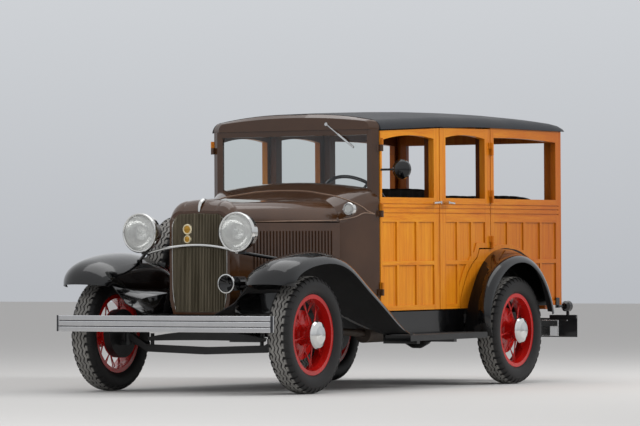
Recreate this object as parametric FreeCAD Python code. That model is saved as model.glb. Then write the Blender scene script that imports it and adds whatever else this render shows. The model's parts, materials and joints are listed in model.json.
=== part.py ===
"""A station wagon of the early 1930s: steel hood, cowl and fenders, and a wooden body with four doors.

Lengths are in millimetres. X runs across the wagon, with the driver's side at +X. Y runs from the front
bumper to the rear bumper, and Z runs up from the ground. While the pieces are drawn, Y is zero at the front
axle. The finished wagon is then moved so that its origin lies under the middle of its outline.

The body and frame lean a little towards the nose. They are drawn level, and lean_body() tips them at the end.
"""
import FreeCAD, Part
import math
import os

# Driving sizes of the running gear
WHEELBASE = 2692.0
TRACK = 1422.0
TYRE_RADIUS = 360.0
TYRE_WIDTH = 152.0
RIM_RADIUS = 247.0
RIM_WIDTH = 104.0
RIM_DEPTH = 30.0
SPOKE_COUNT = 32
SPOKE_RADIUS = 3.5
HUB_RADIUS = 58.0
HUB_INNER = 44.0
HUB_OUTER = 78.0
CAP_RADIUS = 87.0
CAP_HEIGHT = 38.0
DRUM_RADIUS = 152.0
DRUM_WIDTH = 50.0
SPINDLE_RADIUS = 20.0
RUNNING_FIT = 0.3
KINGPIN_X = 580.0
KINGPIN_RADIUS = 24.0
KINGPIN_HEIGHT = 96.0
AXLE_DROP = 92.0
AXLE_BEAM_HEIGHT = 46.0
AXLE_BEAM_WIDTH = 40.0
AXLE_TUBE_RADIUS = 38.0
DIFFERENTIAL_RADIUS = 128.0

# Lean of the sprung body about a line across the cabin
LEAN_DEG = 0.653
LEAN_Y = 1346.0
LEAN_Z = 1000.0

# Chassis frame
RAIL_TOP = 498.0
RAIL_DEPTH = 104.0
RAIL_WIDTH = 46.0
RAIL_FRONT_Y = -330.0
RAIL_REAR_Y = WHEELBASE + 788.0
RAIL_SPREAD_Y = 1100.0
RAIL_FRONT_X = 250.0
RAIL_REAR_X = 460.0
CROSS_MEMBER_WIDTH = 70.0
CROSS_MEMBER_Y = (1180.0, WHEELBASE - 542.0)
BEARER_Y = (1300.0, 1950.0, WHEELBASE - 272.0, WHEELBASE + 408.0)
BEARER_WIDTH = 60.0
REAR_SPRING_Y = WHEELBASE + 164.0
REAR_SPRING_WIDTH = 60.0
FRONT_MEMBER_BOTTOM = RAIL_TOP - RAIL_DEPTH
MEMBER_BOTTOM = RAIL_TOP - RAIL_DEPTH + 10.0
FUEL_TANK_Y = (REAR_SPRING_Y + 224.0, REAR_SPRING_Y + 544.0)
FUEL_TANK_BOTTOM = 345.0
EXHAUST_X = 250.0
EXHAUST_Z = 345.0
MUFFLER_Y = (1500.0, WHEELBASE - 562.0)
MUFFLER_RADIUS = 60.0
TAIL_PIPE_END_Y = WHEELBASE - 312.0

# Wooden body
BODY_HALF_WIDTH = 657.0
COWL_REAR_HALF_WIDTH = 620.0
WALL = 40.0
PANEL_RECESS = 9.0
BODY_BOTTOM = 500.0
BOTTOM_RAIL = 32.0
MID_RAIL_Z = 790.0
MID_RAIL = 28.0
BELT_BOTTOM = 1069.0
SILL_Z = 1226.0
GROOVE_Z = (1125.0, 1157.0, 1183.0)
GROOVE = 7.0
GROOVE_DEPTH = 5.0
BATTEN = 28.0
DOOR_GAP = 8.0
DOOR_FRONT_Y = 1085.0
CENTRE_POST_Y = 1810.0
REAR_POST_Y = WHEELBASE - 169.0
BODY_REAR_Y = WHEELBASE + 878.0
POST_WIDTH = 76.0
POST_DEPTH = 44.0
FLOOR_THICK = 30.0
HINGE_RADIUS = 9.0
HINGE_LENGTH = 42.0
HINGE_STANDOFF = 8.0
HINGE_LEAF = 26.0
FRONT_HINGE_Z = (640.0, 1140.0, 1560.0)
REAR_HINGE_Z = (936.0, 1240.0, 1560.0)
TAILGATE_HINGE_Y = BODY_REAR_Y + 14.0
TAILGATE_HINGE_Z = BODY_BOTTOM + 22.0
TAILGATE_BOTTOM = BODY_BOTTOM + 24.0
TAILGATE_HINGE_X = 360.0
TAILGATE_STILE = 80.0
CORNER_POST = 110.0
WHEELHOUSE_X = 560.0
WHEELHOUSE_RADIUS = 420.0
ARCH_RAIL = 34.0

# Roof
ROOF_GAP = 8.0

# Hood, cowl and radiator
HOOD_FRONT_Y = 4.0
HOOD_REAR_Y = 798.0
HOOD_GAP = 6.0
HOOD_SHEET = 5.0
HOOD_SIDE_BOTTOM = 640.0
HOOD_HINGE_Z = 1207.0
HOOD_HINGE_RADIUS = 6.0
HOOD_KNUCKLE = 70
HOOD_KNUCKLE_PITCH = 160
HOOD_PIN_RADIUS = 3.0
MOULDING_Z = 1066.0
LOUVRE_COUNT = 25
LOUVRE_FRONT_Y = 119.0
LOUVRE_REAR_Y = 740.0
LOUVRE_HEIGHT = 240.0
LOUVRE_TOP = 1012.0
COWL_SHEET = 12.0
WINDSHIELD_Y = 1062.0
WINDSHIELD_HALF = 540.0
WINDSHIELD_TOP = 1624.0
SHELL_FRONT_Y = -86.0
SHELL_SHEET = 8.0
GRILLE_BAR_COUNT = 37
GRILLE_BAR = 4.0

# Lamps
HEADLAMP = (352.0, -218.0, 1004.0)
HEADLAMP_RADIUS = 124.0
HEADLAMP_DEPTH = 175.0
LENS_RADIUS = 110.0

# Bumpers and running boards
BUMPER_HALF_WIDTH = 775.0
BUMPER_HEIGHT = 99.0
BUMPER_THICK = 10.0
BUMPER_BOW = 16.0
BUMPER_GROOVE = 6.0
BUMPER_GROOVE_DEPTH = 5.0
FRONT_BUMPER_Y = -544.0
FRONT_BUMPER_Z = 428.0
REAR_BUMPER_Y = BODY_REAR_Y + 85.0
REAR_BUMPER_Z = 364.0
REAR_BUMPER_HEIGHT = 110.0
REAR_BUMPER_HALF_WIDTH = 620.0
PLATE_WIDTH = 335.0
PLATE_HEIGHT = 132.0
PLATE_THICK = 3.0
PLATE_HOLE_RADIUS = 3.5
PLATE_HOLE_SPACING = 178.0
PLATE_Y = BODY_REAR_Y + 94.0
PLATE_OUTER_X = 735.0
PLATE_BOTTOM = 301.0
BOARD_TOP = 347.0
BOARD_THICK = 38.0
BOARD_OUTER_X = 832.0
BOARD_INNER_X = 648.0
BOARD_FENDER_GAP = 34.0
APRON_BACK = 8.0
APRON_RAISE = 30.0
FENDER_SHEET = 5.0
FENDER_CLEARANCE = 12.0

# Steering
STEERING_CENTRE = (300.0, 1335.0, 1215.0)
COLUMN_FOOT = (300.0, 830.1, 677.3)
COLUMN_RADIUS = 24.0
STEERING_RADIUS = 215.0

# Spare wheel in the well of the passenger side front fender, leaning in at its top and at its front
SPARE = (-682.0, 708.0, 752.0)
SPARE_LEAN_DEG = 6.0
SPARE_TOE_DEG = 8.0
WELL_SIDE_GAP = 4.0
WELL_LINE = ((340.0, 832.0), (1000.0, 432.0))


def vec(x, y, z):
    return FreeCAD.Vector(x, y, z)


def box(x, y, z):
    """A box between two limits on each axis."""
    return Part.makeBox(x[1] - x[0], y[1] - y[0], z[1] - z[0], vec(x[0], y[0], z[0]))


def rod(start, end, radius):
    """A round bar from one point to another."""
    a = vec(*start)
    b = vec(*end)
    return Part.makeCylinder(radius, (b - a).Length, a, b - a)


def fused(shapes):
    """One solid made from pieces that touch."""
    first = shapes[0]
    return first.multiFuse(shapes[1:]).removeSplitter() if len(shapes) > 1 else first


def group(shapes):
    """Separate solids kept in one piece."""
    return Part.makeCompound(shapes)


def mirrored(shape):
    """The same shape on the other side of the wagon."""
    return shape.mirror(vec(0, 0, 0), vec(1, 0, 0))


def polygon(points):
    return Part.Face(Part.makePolygon([*points, points[0]]))


def plate_yz(points, x0, x1):
    """A plate across X whose outline is a list of (y, z) corners."""
    return polygon([vec(x0, y, z) for y, z in points]).extrude(vec(x1 - x0, 0, 0))


def plate_xy(points, z0, z1):
    """A plate along Z whose outline is a list of (x, y) corners."""
    return polygon([vec(x, y, z0) for x, y in points]).extrude(vec(0, 0, z1 - z0))


def arcs_through(points):
    """Arcs through each three points in turn, sharing their ends."""
    return [Part.Arc(*points[i:i + 3]).toShape() for i in range(0, len(points) - 2, 2)]


def offset_points(points, distance):
    """The (u, v) points moved to the right of their direction of travel."""
    moved = []
    for i, (u, v) in enumerate(points):
        before = points[max(i - 1, 0)]
        after = points[min(i + 1, len(points) - 1)]
        du = after[0] - before[0]
        dv = after[1] - before[1]
        length = math.hypot(du, dv)
        moved.append((u + distance * dv / length, v - distance * du / length))
    return moved


def sheet_section(points, thickness, place, first_end=None, last_end=None):
    """A closed section of bent sheet: arcs along its face, the same arcs inside, and two short ends.

    An end that is given, as (u, v) from the face's own end, replaces the square one."""
    inside = offset_points(points, thickness)
    if first_end:
        inside[0] = (points[0][0] + first_end[0], points[0][1] + first_end[1])
    if last_end:
        inside[-1] = (points[-1][0] + last_end[0], points[-1][1] + last_end[1])
    face = [place(u, v) for u, v in points]
    back = [place(u, v) for u, v in inside]
    edges = arcs_through(face)
    edges.append(Part.LineSegment(face[-1], back[-1]).toShape())
    edges += arcs_through(back[::-1])
    edges.append(Part.LineSegment(back[0], face[0]).toShape())
    return Part.Wire(edges)


def loft(wires):
    return Part.makeLoft(wires, True, False)


def turned_about_x(points, y, z):
    """A solid of revolution about a line along X, from (radius, x) corners."""
    face = polygon([vec(x, y, z + r) for r, x in points])
    return face.revolve(vec(0, y, z), vec(1, 0, 0), 360)


def turned_about_y(points, x, z):
    """A solid of revolution about a line along Y, from (radius, y) corners."""
    face = polygon([vec(x + r, y, z) for r, y in points])
    return face.revolve(vec(x, 0, z), vec(0, 1, 0), 360)


def lean_body(shape):
    """Tips a sprung shape towards the nose."""
    return shape.rotate(vec(0, LEAN_Y, LEAN_Z), vec(1, 0, 0), LEAN_DEG)


def turned_about_lean(y, z, degrees):
    angle = math.radians(degrees)
    dy = y - LEAN_Y
    dz = z - LEAN_Z
    return (LEAN_Y + dy * math.cos(angle) - dz * math.sin(angle),
            LEAN_Z + dy * math.sin(angle) + dz * math.cos(angle))


def in_level_body(y, z):
    """Where a point of the running gear lies while the body is drawn level."""
    return turned_about_lean(y, z, -LEAN_DEG)


def on_road(y, z):
    """Where a point of the body, drawn level, stands once the body leans."""
    return turned_about_lean(y, z, LEAN_DEG)


def largest(shape):
    """The main solid, without slivers that a cut leaves on the far side of a sheet."""
    return max(shape.Solids, key=lambda solid: solid.Volume)


def wheel(drum_radius):
    """Rim, spokes, hub, drum and cap, about a line along X, with the outside at +X."""
    well = RIM_RADIUS - RIM_DEPTH
    half = RIM_WIDTH / 2
    rim = turned_about_x([(RIM_RADIUS, half), (RIM_RADIUS, half - 6), (well + 10, half - 14),
                          (well + 8, 20), (well, 14), (well, -14), (well + 8, -20),
                          (well + 10, -half + 14), (RIM_RADIUS, -half + 6), (RIM_RADIUS, -half),
                          (well + 4, -half), (well - 5, -16), (well - 5, 16), (well + 4, half)], 0, 0)
    inner = -HUB_INNER
    bore = SPINDLE_RADIUS + RUNNING_FIT
    flange = HUB_RADIUS + 20
    hub = turned_about_x([(bore, inner), (drum_radius, inner), (drum_radius, inner + 10),
                          (HUB_RADIUS + 8, inner + 18), (HUB_RADIUS, -10), (HUB_RADIUS, 30),
                          (flange, HUB_OUTER - 8), (flange, HUB_OUTER), (bore, HUB_OUTER)], 0, 0)
    spokes = []
    for i in range(SPOKE_COUNT):
        outer_row = i % 2 == 0
        root_angle = 2 * math.pi * i / SPOKE_COUNT
        swing = math.radians(14 if i % 4 < 2 else -14)
        tip_angle = root_angle + swing
        root_x = 40 if outer_row else -38
        root_radius = HUB_RADIUS - 6 if outer_row else HUB_RADIUS + 4
        tip_radius = well - 2
        root = (root_x, root_radius * math.cos(root_angle), root_radius * math.sin(root_angle))
        tip = (6 if outer_row else -6, tip_radius * math.cos(tip_angle), tip_radius * math.sin(tip_angle))
        spokes.append(rod(root, tip, SPOKE_RADIUS))
    seat = HUB_OUTER - 2
    cap = turned_about_x([(0, seat), (CAP_RADIUS, seat), (CAP_RADIUS, seat + 8), (CAP_RADIUS - 8, seat + 20),
                          (CAP_RADIUS - 32, seat + CAP_HEIGHT - 6), (0, seat + CAP_HEIGHT)], 0, 0)
    return fused([rim, hub, cap, *spokes])


def tyre():
    """Tyre about a line along X, seated on the rim."""
    half = TYRE_WIDTH / 2
    seat = RIM_RADIUS - 1.0
    bead = RIM_WIDTH / 2 - 7.0
    shoulder = TYRE_RADIUS - 34.0
    widest = (seat + shoulder) / 2 + 6
    inner_wall = [(seat, -bead), (seat + 28, -half + 4), (widest, -half), (shoulder + 6, -half + 4),
                  (TYRE_RADIUS - 10, -half + 18), (TYRE_RADIUS, -half + 34)]
    outer_wall = [(radius, -x) for radius, x in inner_wall[::-1]]
    return turned_about_x([*inner_wall, *outer_wall], 0, 0)


def at_hub(shape, side, y):
    """Places a left-hand wheel shape at one corner of the wagon."""
    placed = shape.copy()
    if side < 0:
        placed = mirrored(placed)
    placed.translate(vec(side * TRACK / 2, y, TYRE_RADIUS))
    return placed


def front_axle():
    """Dropped beam with a boss at each end, and the leaf spring that lies along it."""
    low = TYRE_RADIUS - AXLE_DROP
    half = AXLE_BEAM_WIDTH / 2
    rise = 150.0
    corners = [(-KINGPIN_X, TYRE_RADIUS + 18), (-KINGPIN_X, TYRE_RADIUS - 26), (-KINGPIN_X + rise, low - 20),
               (0, low - 34), (KINGPIN_X - rise, low - 20), (KINGPIN_X, TYRE_RADIUS - 26),
               (KINGPIN_X, TYRE_RADIUS + 18), (KINGPIN_X - rise, low - 20 + AXLE_BEAM_HEIGHT),
               (0, low - 34 + AXLE_BEAM_HEIGHT), (-KINGPIN_X + rise, low - 20 + AXLE_BEAM_HEIGHT)]
    beam = polygon([vec(x, -half, z) for x, z in corners]).extrude(vec(0, 2 * half, 0))
    pieces = [beam]
    for side in (-1, 1):
        pieces.append(rod((side * KINGPIN_X, 0, TYRE_RADIUS - KINGPIN_HEIGHT / 2),
                          (side * KINGPIN_X, 0, TYRE_RADIUS + KINGPIN_HEIGHT / 2), KINGPIN_RADIUS))
        pieces.append(rod((side * 400, 0, low), (side * 400, 0, low + 95), 12))
    spring_top = on_road(0, FRONT_MEMBER_BOTTOM)[1] - RUNNING_FIT - 0.5
    spring = [vec(-420, 0, low + 70), vec(0, 0, spring_top), vec(420, 0, low + 70)]
    under = [vec(410, 0, low + 48), vec(0, 0, spring_top - 56), vec(-410, 0, low + 48)]
    outline = Part.Wire([Part.Arc(*spring).toShape(), Part.LineSegment(spring[2], under[0]).toShape(),
                         Part.Arc(*under).toShape(), Part.LineSegment(under[2], spring[0]).toShape()])
    leaf = Part.Face(outline).extrude(vec(0, 56, 0))
    leaf.translate(vec(0, -28, 0))
    pieces.append(leaf)
    return fused(pieces)


def rear_axle():
    """Tubes, differential and torque tube, with the leaf spring behind them."""
    end = TRACK / 2 - HUB_INNER - DRUM_WIDTH
    z = TYRE_RADIUS
    pieces = [rod((-end, WHEELBASE, z), (end, WHEELBASE, z), AXLE_TUBE_RADIUS)]
    r = DIFFERENTIAL_RADIUS
    neck = AXLE_TUBE_RADIUS + 4
    pieces.append(turned_about_x([(0, -r), (neck, -r), (0.8 * r, -0.6 * r), (r, -0.2 * r), (r, 0.2 * r),
                                  (0.8 * r, 0.6 * r), (neck, r), (0, r)], WHEELBASE, z))
    torque_front = on_road(CROSS_MEMBER_Y[0] + CROSS_MEMBER_WIDTH, MEMBER_BOTTOM)[0] + RUNNING_FIT
    pieces.append(rod((0, WHEELBASE, z), (0, torque_front, z + 40), 34))
    drum_end = end + DRUM_WIDTH - 2
    spindle_end = TRACK / 2 + 40
    for side in (-1, 1):
        pieces.append(rod((side * (end - 4), WHEELBASE, z), (side * drum_end, WHEELBASE, z), DRUM_RADIUS))
        pieces.append(rod((side * end, WHEELBASE, z), (side * spindle_end, WHEELBASE, z), SPINDLE_RADIUS))
        pieces.append(rod((side * 470, WHEELBASE + 20, z), (side * 470, REAR_SPRING_Y, z - 10), 22))
    top = on_road(REAR_SPRING_Y - REAR_SPRING_WIDTH / 2, MEMBER_BOTTOM)[1] - RUNNING_FIT - 0.4
    upper = [vec(-500, 0, z - 8), vec(0, 0, top), vec(500, 0, z - 8)]
    under = [vec(490, 0, z - 34), vec(0, 0, top - 62), vec(-490, 0, z - 34)]
    outline = Part.Wire([Part.Arc(*upper).toShape(), Part.LineSegment(upper[2], under[0]).toShape(),
                         Part.Arc(*under).toShape(), Part.LineSegment(under[2], upper[0]).toShape()])
    leaf = Part.Face(outline).extrude(vec(0, REAR_SPRING_WIDTH, 0))
    leaf.translate(vec(0, REAR_SPRING_Y - REAR_SPRING_WIDTH / 2, 0))
    pieces.append(leaf)
    return fused(pieces)


def knuckle():
    """Left steering knuckle: a fork about the kingpin, a spindle, and a brake backing plate."""
    half = KINGPIN_HEIGHT / 2
    arm = 24.0
    reach = TRACK / 2 - HUB_INNER - DRUM_WIDTH - KINGPIN_X
    pieces = []
    for way in (-1, 1):
        z0 = TYRE_RADIUS + way * (half + RUNNING_FIT)
        z1 = TYRE_RADIUS + way * (half + arm)
        pieces.append(rod((KINGPIN_X, 0, z0), (KINGPIN_X, 0, z1), KINGPIN_RADIUS + 6))
        low, high = sorted((z0, z1))
        pieces.append(box((KINGPIN_X, KINGPIN_X + reach + 6), (-30, 30), (low, high)))
    plate = KINGPIN_X + reach
    spindle_tip = TRACK / 2 + 40
    pieces.append(rod((plate, 0, TYRE_RADIUS), (plate + DRUM_WIDTH - 2, 0, TYRE_RADIUS), DRUM_RADIUS))
    pieces.append(rod((plate, 0, TYRE_RADIUS), (spindle_tip, 0, TYRE_RADIUS), SPINDLE_RADIUS))
    arm_z = TYRE_RADIUS - half - 14
    pieces.append(rod((KINGPIN_X + 10, 30, arm_z), (KINGPIN_X - 60, 150, arm_z), 11))
    return fused(pieces)


def chassis_frame():
    """Two tapering rails with cross members, leaning with the body."""
    pieces = []
    low = RAIL_TOP - RAIL_DEPTH
    for side in (-1, 1):
        inner_front = side * (RAIL_FRONT_X - RAIL_WIDTH)
        inner_rear = side * (RAIL_REAR_X - RAIL_WIDTH)
        outer_front = side * RAIL_FRONT_X
        outer_rear = side * RAIL_REAR_X
        pieces.append(plate_xy([(outer_front, RAIL_FRONT_Y), (outer_rear, RAIL_SPREAD_Y),
                                (outer_rear, RAIL_REAR_Y), (inner_rear, RAIL_REAR_Y),
                                (inner_rear, RAIL_SPREAD_Y), (inner_front, RAIL_FRONT_Y)], low, RAIL_TOP))
    span = rail_x(0) - 10
    half = CROSS_MEMBER_WIDTH / 2
    pieces.append(box((-span, span), (-half, half), (FRONT_MEMBER_BOTTOM, RAIL_TOP)))
    for y in (*CROSS_MEMBER_Y, REAR_SPRING_Y - half, RAIL_REAR_Y - CROSS_MEMBER_WIDTH):
        across = (-RAIL_REAR_X + 5, RAIL_REAR_X - 5)
        pieces.append(box(across, (y, y + CROSS_MEMBER_WIDTH), (MEMBER_BOTTOM, RAIL_TOP)))
    for y in BEARER_Y:
        across = (-BODY_HALF_WIDTH + 60, BODY_HALF_WIDTH - 60)
        pieces.append(box(across, (y, y + BEARER_WIDTH), (RAIL_TOP - 40, BODY_BOTTOM)))
    return fused(pieces)


def rail_x(y):
    """Outer face of a frame rail, from its narrow front to where the rails run parallel."""
    part = min(1.0, (y - RAIL_FRONT_Y) / (RAIL_SPREAD_Y - RAIL_FRONT_Y))
    return RAIL_FRONT_X + (RAIL_REAR_X - RAIL_FRONT_X) * part


def engine_block():
    """The engine as one plain mass between the rails."""
    block = box((-185, 185), (110, 740), (430, 1010))
    reach = rail_x(300) - RAIL_WIDTH
    mounts = box((-reach, reach), (300, 380), (440, 480))
    return fused([block, mounts])


def exhaust():
    x = EXHAUST_X
    z = EXHAUST_Z
    front, rear = MUFFLER_Y
    pipe = rod((x, 700, z + 60), (x, front, z), 24)
    muffler = rod((x, front, z), (x, rear, z), MUFFLER_RADIUS)
    tail = rod((x, rear, z), (x, TAIL_PIPE_END_Y, z), 22)
    hanger_y = (front + 300, front + 330)
    hanger = box((x - 12, x + 12), hanger_y, (z + MUFFLER_RADIUS - 5, RAIL_TOP - 30))
    bridge = box((x - 12, RAIL_REAR_X - RAIL_WIDTH), hanger_y, (RAIL_TOP - 44, RAIL_TOP - 20))
    return fused([pipe, muffler, tail, hanger, bridge])


def fuel_tank():
    half = RAIL_REAR_X - RAIL_WIDTH
    body = box((-half, half), FUEL_TANK_Y, (FUEL_TANK_BOTTOM, RAIL_TOP - 43))
    return body.makeFillet(30, [e for e in body.Edges if abs(e.Vertexes[0].Y - e.Vertexes[1].Y) > 200])


def fender_profile(x_in, d_in, x_crown, x_lip, d_out):
    """(x, drop) points over a fender: up from its inner edge, over the crown, down to its lip."""
    points = []
    for degrees in (180, 157.5, 135, 112.5, 90):
        angle = math.radians(degrees)
        points.append((x_crown + (x_crown - x_in) * math.cos(angle), d_in * (math.sin(angle) - 1)))
    for degrees in (67.5, 45, 22.5, 0):
        angle = math.radians(degrees)
        points.append((x_crown + (x_lip - x_crown) * math.cos(angle), d_out * (math.sin(angle) - 1)))
    return points


# Front fender stations: y and z of the crown, lean of the section, inner x and drop, crown x, lip x and drop
FRONT_FENDER = (
    (-452, 688, 82, 500, 112, 690, 832, 140),
    (-398, 784, 50, 478, 150, 692, 836, 110),
    (-250, 848, 22, 452, 205, 700, 838, 88),
    (-50, 877, 6, 436, 225, 700, 838, 76),
    (150, 880, -3, 432, 228, 702, 838, 74),
    (340, 838, -22, 440, 195, 706, 838, 74),
    (560, 715, -32, 480, 150, 716, 838, 72),
    (820, 552, -33, 512, 95, 726, 836, 60),
    (1094, 372, -30, 630, 16, 736, 833, 16),
    (1146, 356.4, -12, 652, 0.6, 736, 833, 0.6),
)

# Fender skirt stations: y, outer x and z at the fender, ledge x and z beside the hood
FENDER_SKIRT = (
    (-318, 492, 682, 390, 570),
    (-173, 454, 660, 330, 606),
    (-60, 439, 655, 252, 630),
    (138, 434, 654, 292, 630),
    (290, 443, 656, 340, 630),
    (481, 482, 590, 400, 630),
    (772, 516, 480, 492, 630),
)


def front_fender():
    """Left front fender: one sheet swept over the wheel down to the running board, with its inner apron."""
    wires = []
    for y, z, lean, x_in, d_in, x_crown, x_lip, d_out in FRONT_FENDER:
        angle = math.radians(lean)

        def place(u, v, y=y, z=z, angle=angle):
            return vec(u, y - v * math.sin(angle), z + v * math.cos(angle))

        wires.append(sheet_section(fender_profile(x_in, d_in, x_crown, x_lip, d_out), FENDER_SHEET, place))
    skirt = []
    for y, outer_x, outer_z, ledge_x, ledge_z in FENDER_SKIRT:
        corners = [(rail_x(y) - 6, RAIL_TOP + FENDER_SHEET - 0.4), (ledge_x, ledge_z), (outer_x, outer_z)]
        corners += offset_points(corners, FENDER_SHEET)[::-1]
        skirt.append(Part.makePolygon([vec(x, y, z) for x, z in [*corners, corners[0]]]))
    return fused([loft(wires), Part.makeLoft(skirt, True, True)])


def front_fender_with_well():
    """Right front fender, with the round-bottomed well that holds the spare."""
    inside = TYRE_WIDTH / 2 + WELL_SIDE_GAP
    radius = TYRE_RADIUS + RUNNING_FIT
    room = spare_place(rod((-inside, 0, 0), (inside, 0, 0), radius))
    beyond = inside + FENDER_SHEET
    outside = spare_place(rod((-beyond, 0, 0), (beyond, 0, 0), radius + FENDER_SHEET))
    (y0, z0), (y1, z1) = WELL_LINE
    above = plate_yz([(y0 - 60, z0 + 36), (y1 + 120, z1 - 73), (y1 + 120, 1300), (y0 - 60, 1300)], -900, -450)
    well = outside.cut([room, above])
    return fused([largest(mirrored(front_fender()).cut(outside)), well])


# Rear fender stations: angle about the hub, and radius at the body, at the crown and at the lip
REAR_FENDER = (
    (183, 530, 512, 500),
    (160, 520, 583, 545),
    (138, 516, 578, 520),
    (118, 534, 536, 490),
    (98, 545, 509, 460),
    (78, 555, 493, 432),
    (58, 592, 479, 404),
    (38, 652, 462, 388),
    (15, 736, 456, 384),
)
REAR_FENDER_CROWN_X = 780.0
REAR_FENDER_BEND_X = 832.0
REAR_FENDER_LIP_X = 850.0


def bend_radius(at_crown, at_lip):
    """Radius where the rear fender turns down to its lip."""
    return (at_crown + at_lip) / 2 + 16


def rear_fender():
    """Left rear fender about the rear hub, with the wheelhouse inside the body."""
    hub_y, hub_z = in_level_body(WHEELBASE, TYRE_RADIUS)
    body_x = BODY_HALF_WIDTH + RUNNING_FIT
    wires = []
    for degrees, at_body, at_crown, at_lip in REAR_FENDER:
        angle = math.radians(degrees)

        def place(u, v, angle=angle):
            return vec(u, hub_y + v * math.cos(angle), hub_z + v * math.sin(angle))

        points = [(body_x, at_body), ((body_x + REAR_FENDER_CROWN_X) / 2, (at_body + at_crown) / 2 + 8),
                  (REAR_FENDER_CROWN_X, at_crown), (REAR_FENDER_BEND_X, bend_radius(at_crown, at_lip)),
                  (REAR_FENDER_LIP_X, at_lip)]
        wires.append(sheet_section(points, FENDER_SHEET, place, (0, -FENDER_SHEET)))
    return loft(wires)


def wheelhouse():
    """Box inside the body over the rear wheel."""
    hub_y, hub_z = in_level_body(WHEELBASE, TYRE_RADIUS)
    outer = rod((WHEELHOUSE_X, hub_y, hub_z), (BODY_HALF_WIDTH - WALL, hub_y, hub_z), WHEELHOUSE_RADIUS)
    inner = rod((WHEELHOUSE_X + 8, hub_y, hub_z), (BODY_HALF_WIDTH, hub_y, hub_z), WHEELHOUSE_RADIUS - 8)
    above = box((0, BODY_HALF_WIDTH), (hub_y - 600, hub_y + 600), (BODY_BOTTOM, 1200))
    return outer.cut(inner).common(above)


def running_board():
    """Left running board with the apron that closes the gap up to the body."""
    front = FRONT_FENDER[-2][0] + RUNNING_FIT
    rear = in_level_body(WHEELBASE, TYRE_RADIUS)[0] - REAR_FENDER[0][2] - BOARD_FENDER_GAP
    board = box((BOARD_INNER_X, BOARD_OUTER_X), (front, rear), (BOARD_TOP - BOARD_THICK, BOARD_TOP))
    apron_x = (BOARD_INNER_X, BOARD_INNER_X + 6)
    apron_top = BODY_BOTTOM - DOOR_GAP
    behind_fender = FRONT_FENDER[-1][0] + APRON_BACK
    apron = box(apron_x, (behind_fender, rear), (BOARD_TOP, apron_top))
    over_fender = box(apron_x, (front, behind_fender), (BOARD_TOP + APRON_RAISE, apron_top))
    pieces = [board, apron, over_fender]
    bracket_z = (BOARD_TOP - BOARD_THICK - 24, BOARD_TOP - 20)
    for y in (1400.0, 1900.0):
        pieces.append(box((RAIL_REAR_X, BOARD_INNER_X + 60), (y, y + 40), bracket_z))
        pieces.append(box((RAIL_REAR_X, RAIL_REAR_X + 10), (y, y + 40), (BOARD_TOP - 22, RAIL_TOP - 30)))
    return fused(pieces)


def body_half_width(y):
    """Outer half width of the wooden body: narrower towards the windshield."""
    taper = (BODY_HALF_WIDTH - COWL_REAR_HALF_WIDTH) / (CENTRE_POST_Y - DOOR_FRONT_Y)
    return BODY_HALF_WIDTH - max(0.0, CENTRE_POST_Y - y) * taper


def roof_edge_z(y):
    """Height of the roof's drip edge along the body."""
    if y <= CENTRE_POST_Y:
        return 1656 + 34 * (y - DOOR_FRONT_Y) / (CENTRE_POST_Y - DOOR_FRONT_Y)
    if y <= REAR_POST_Y:
        return 1690 + 11 * (y - CENTRE_POST_Y) / (REAR_POST_Y - CENTRE_POST_Y)
    return 1701.0


# Side leaves: name, front and rear y, front and rear stile widths, z of the window's top at its front,
# crown and rear, y of that crown from the leaf's front, batten y values from the leaf's front
SIDE_LEAVES = {
    "front": (DOOR_FRONT_Y, CENTRE_POST_Y, 25, 70, (1590, 1627, 1610), 345, (214, 449)),
    "rear": (CENTRE_POST_Y, REAR_POST_Y, 85, 80, (1622, 1643, 1623), 310, (251, 448)),
    "quarter": (REAR_POST_Y, BODY_REAR_Y, 49, 82, (1634, 1638, 1622), 487, (251, 491, 737)),
}


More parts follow.
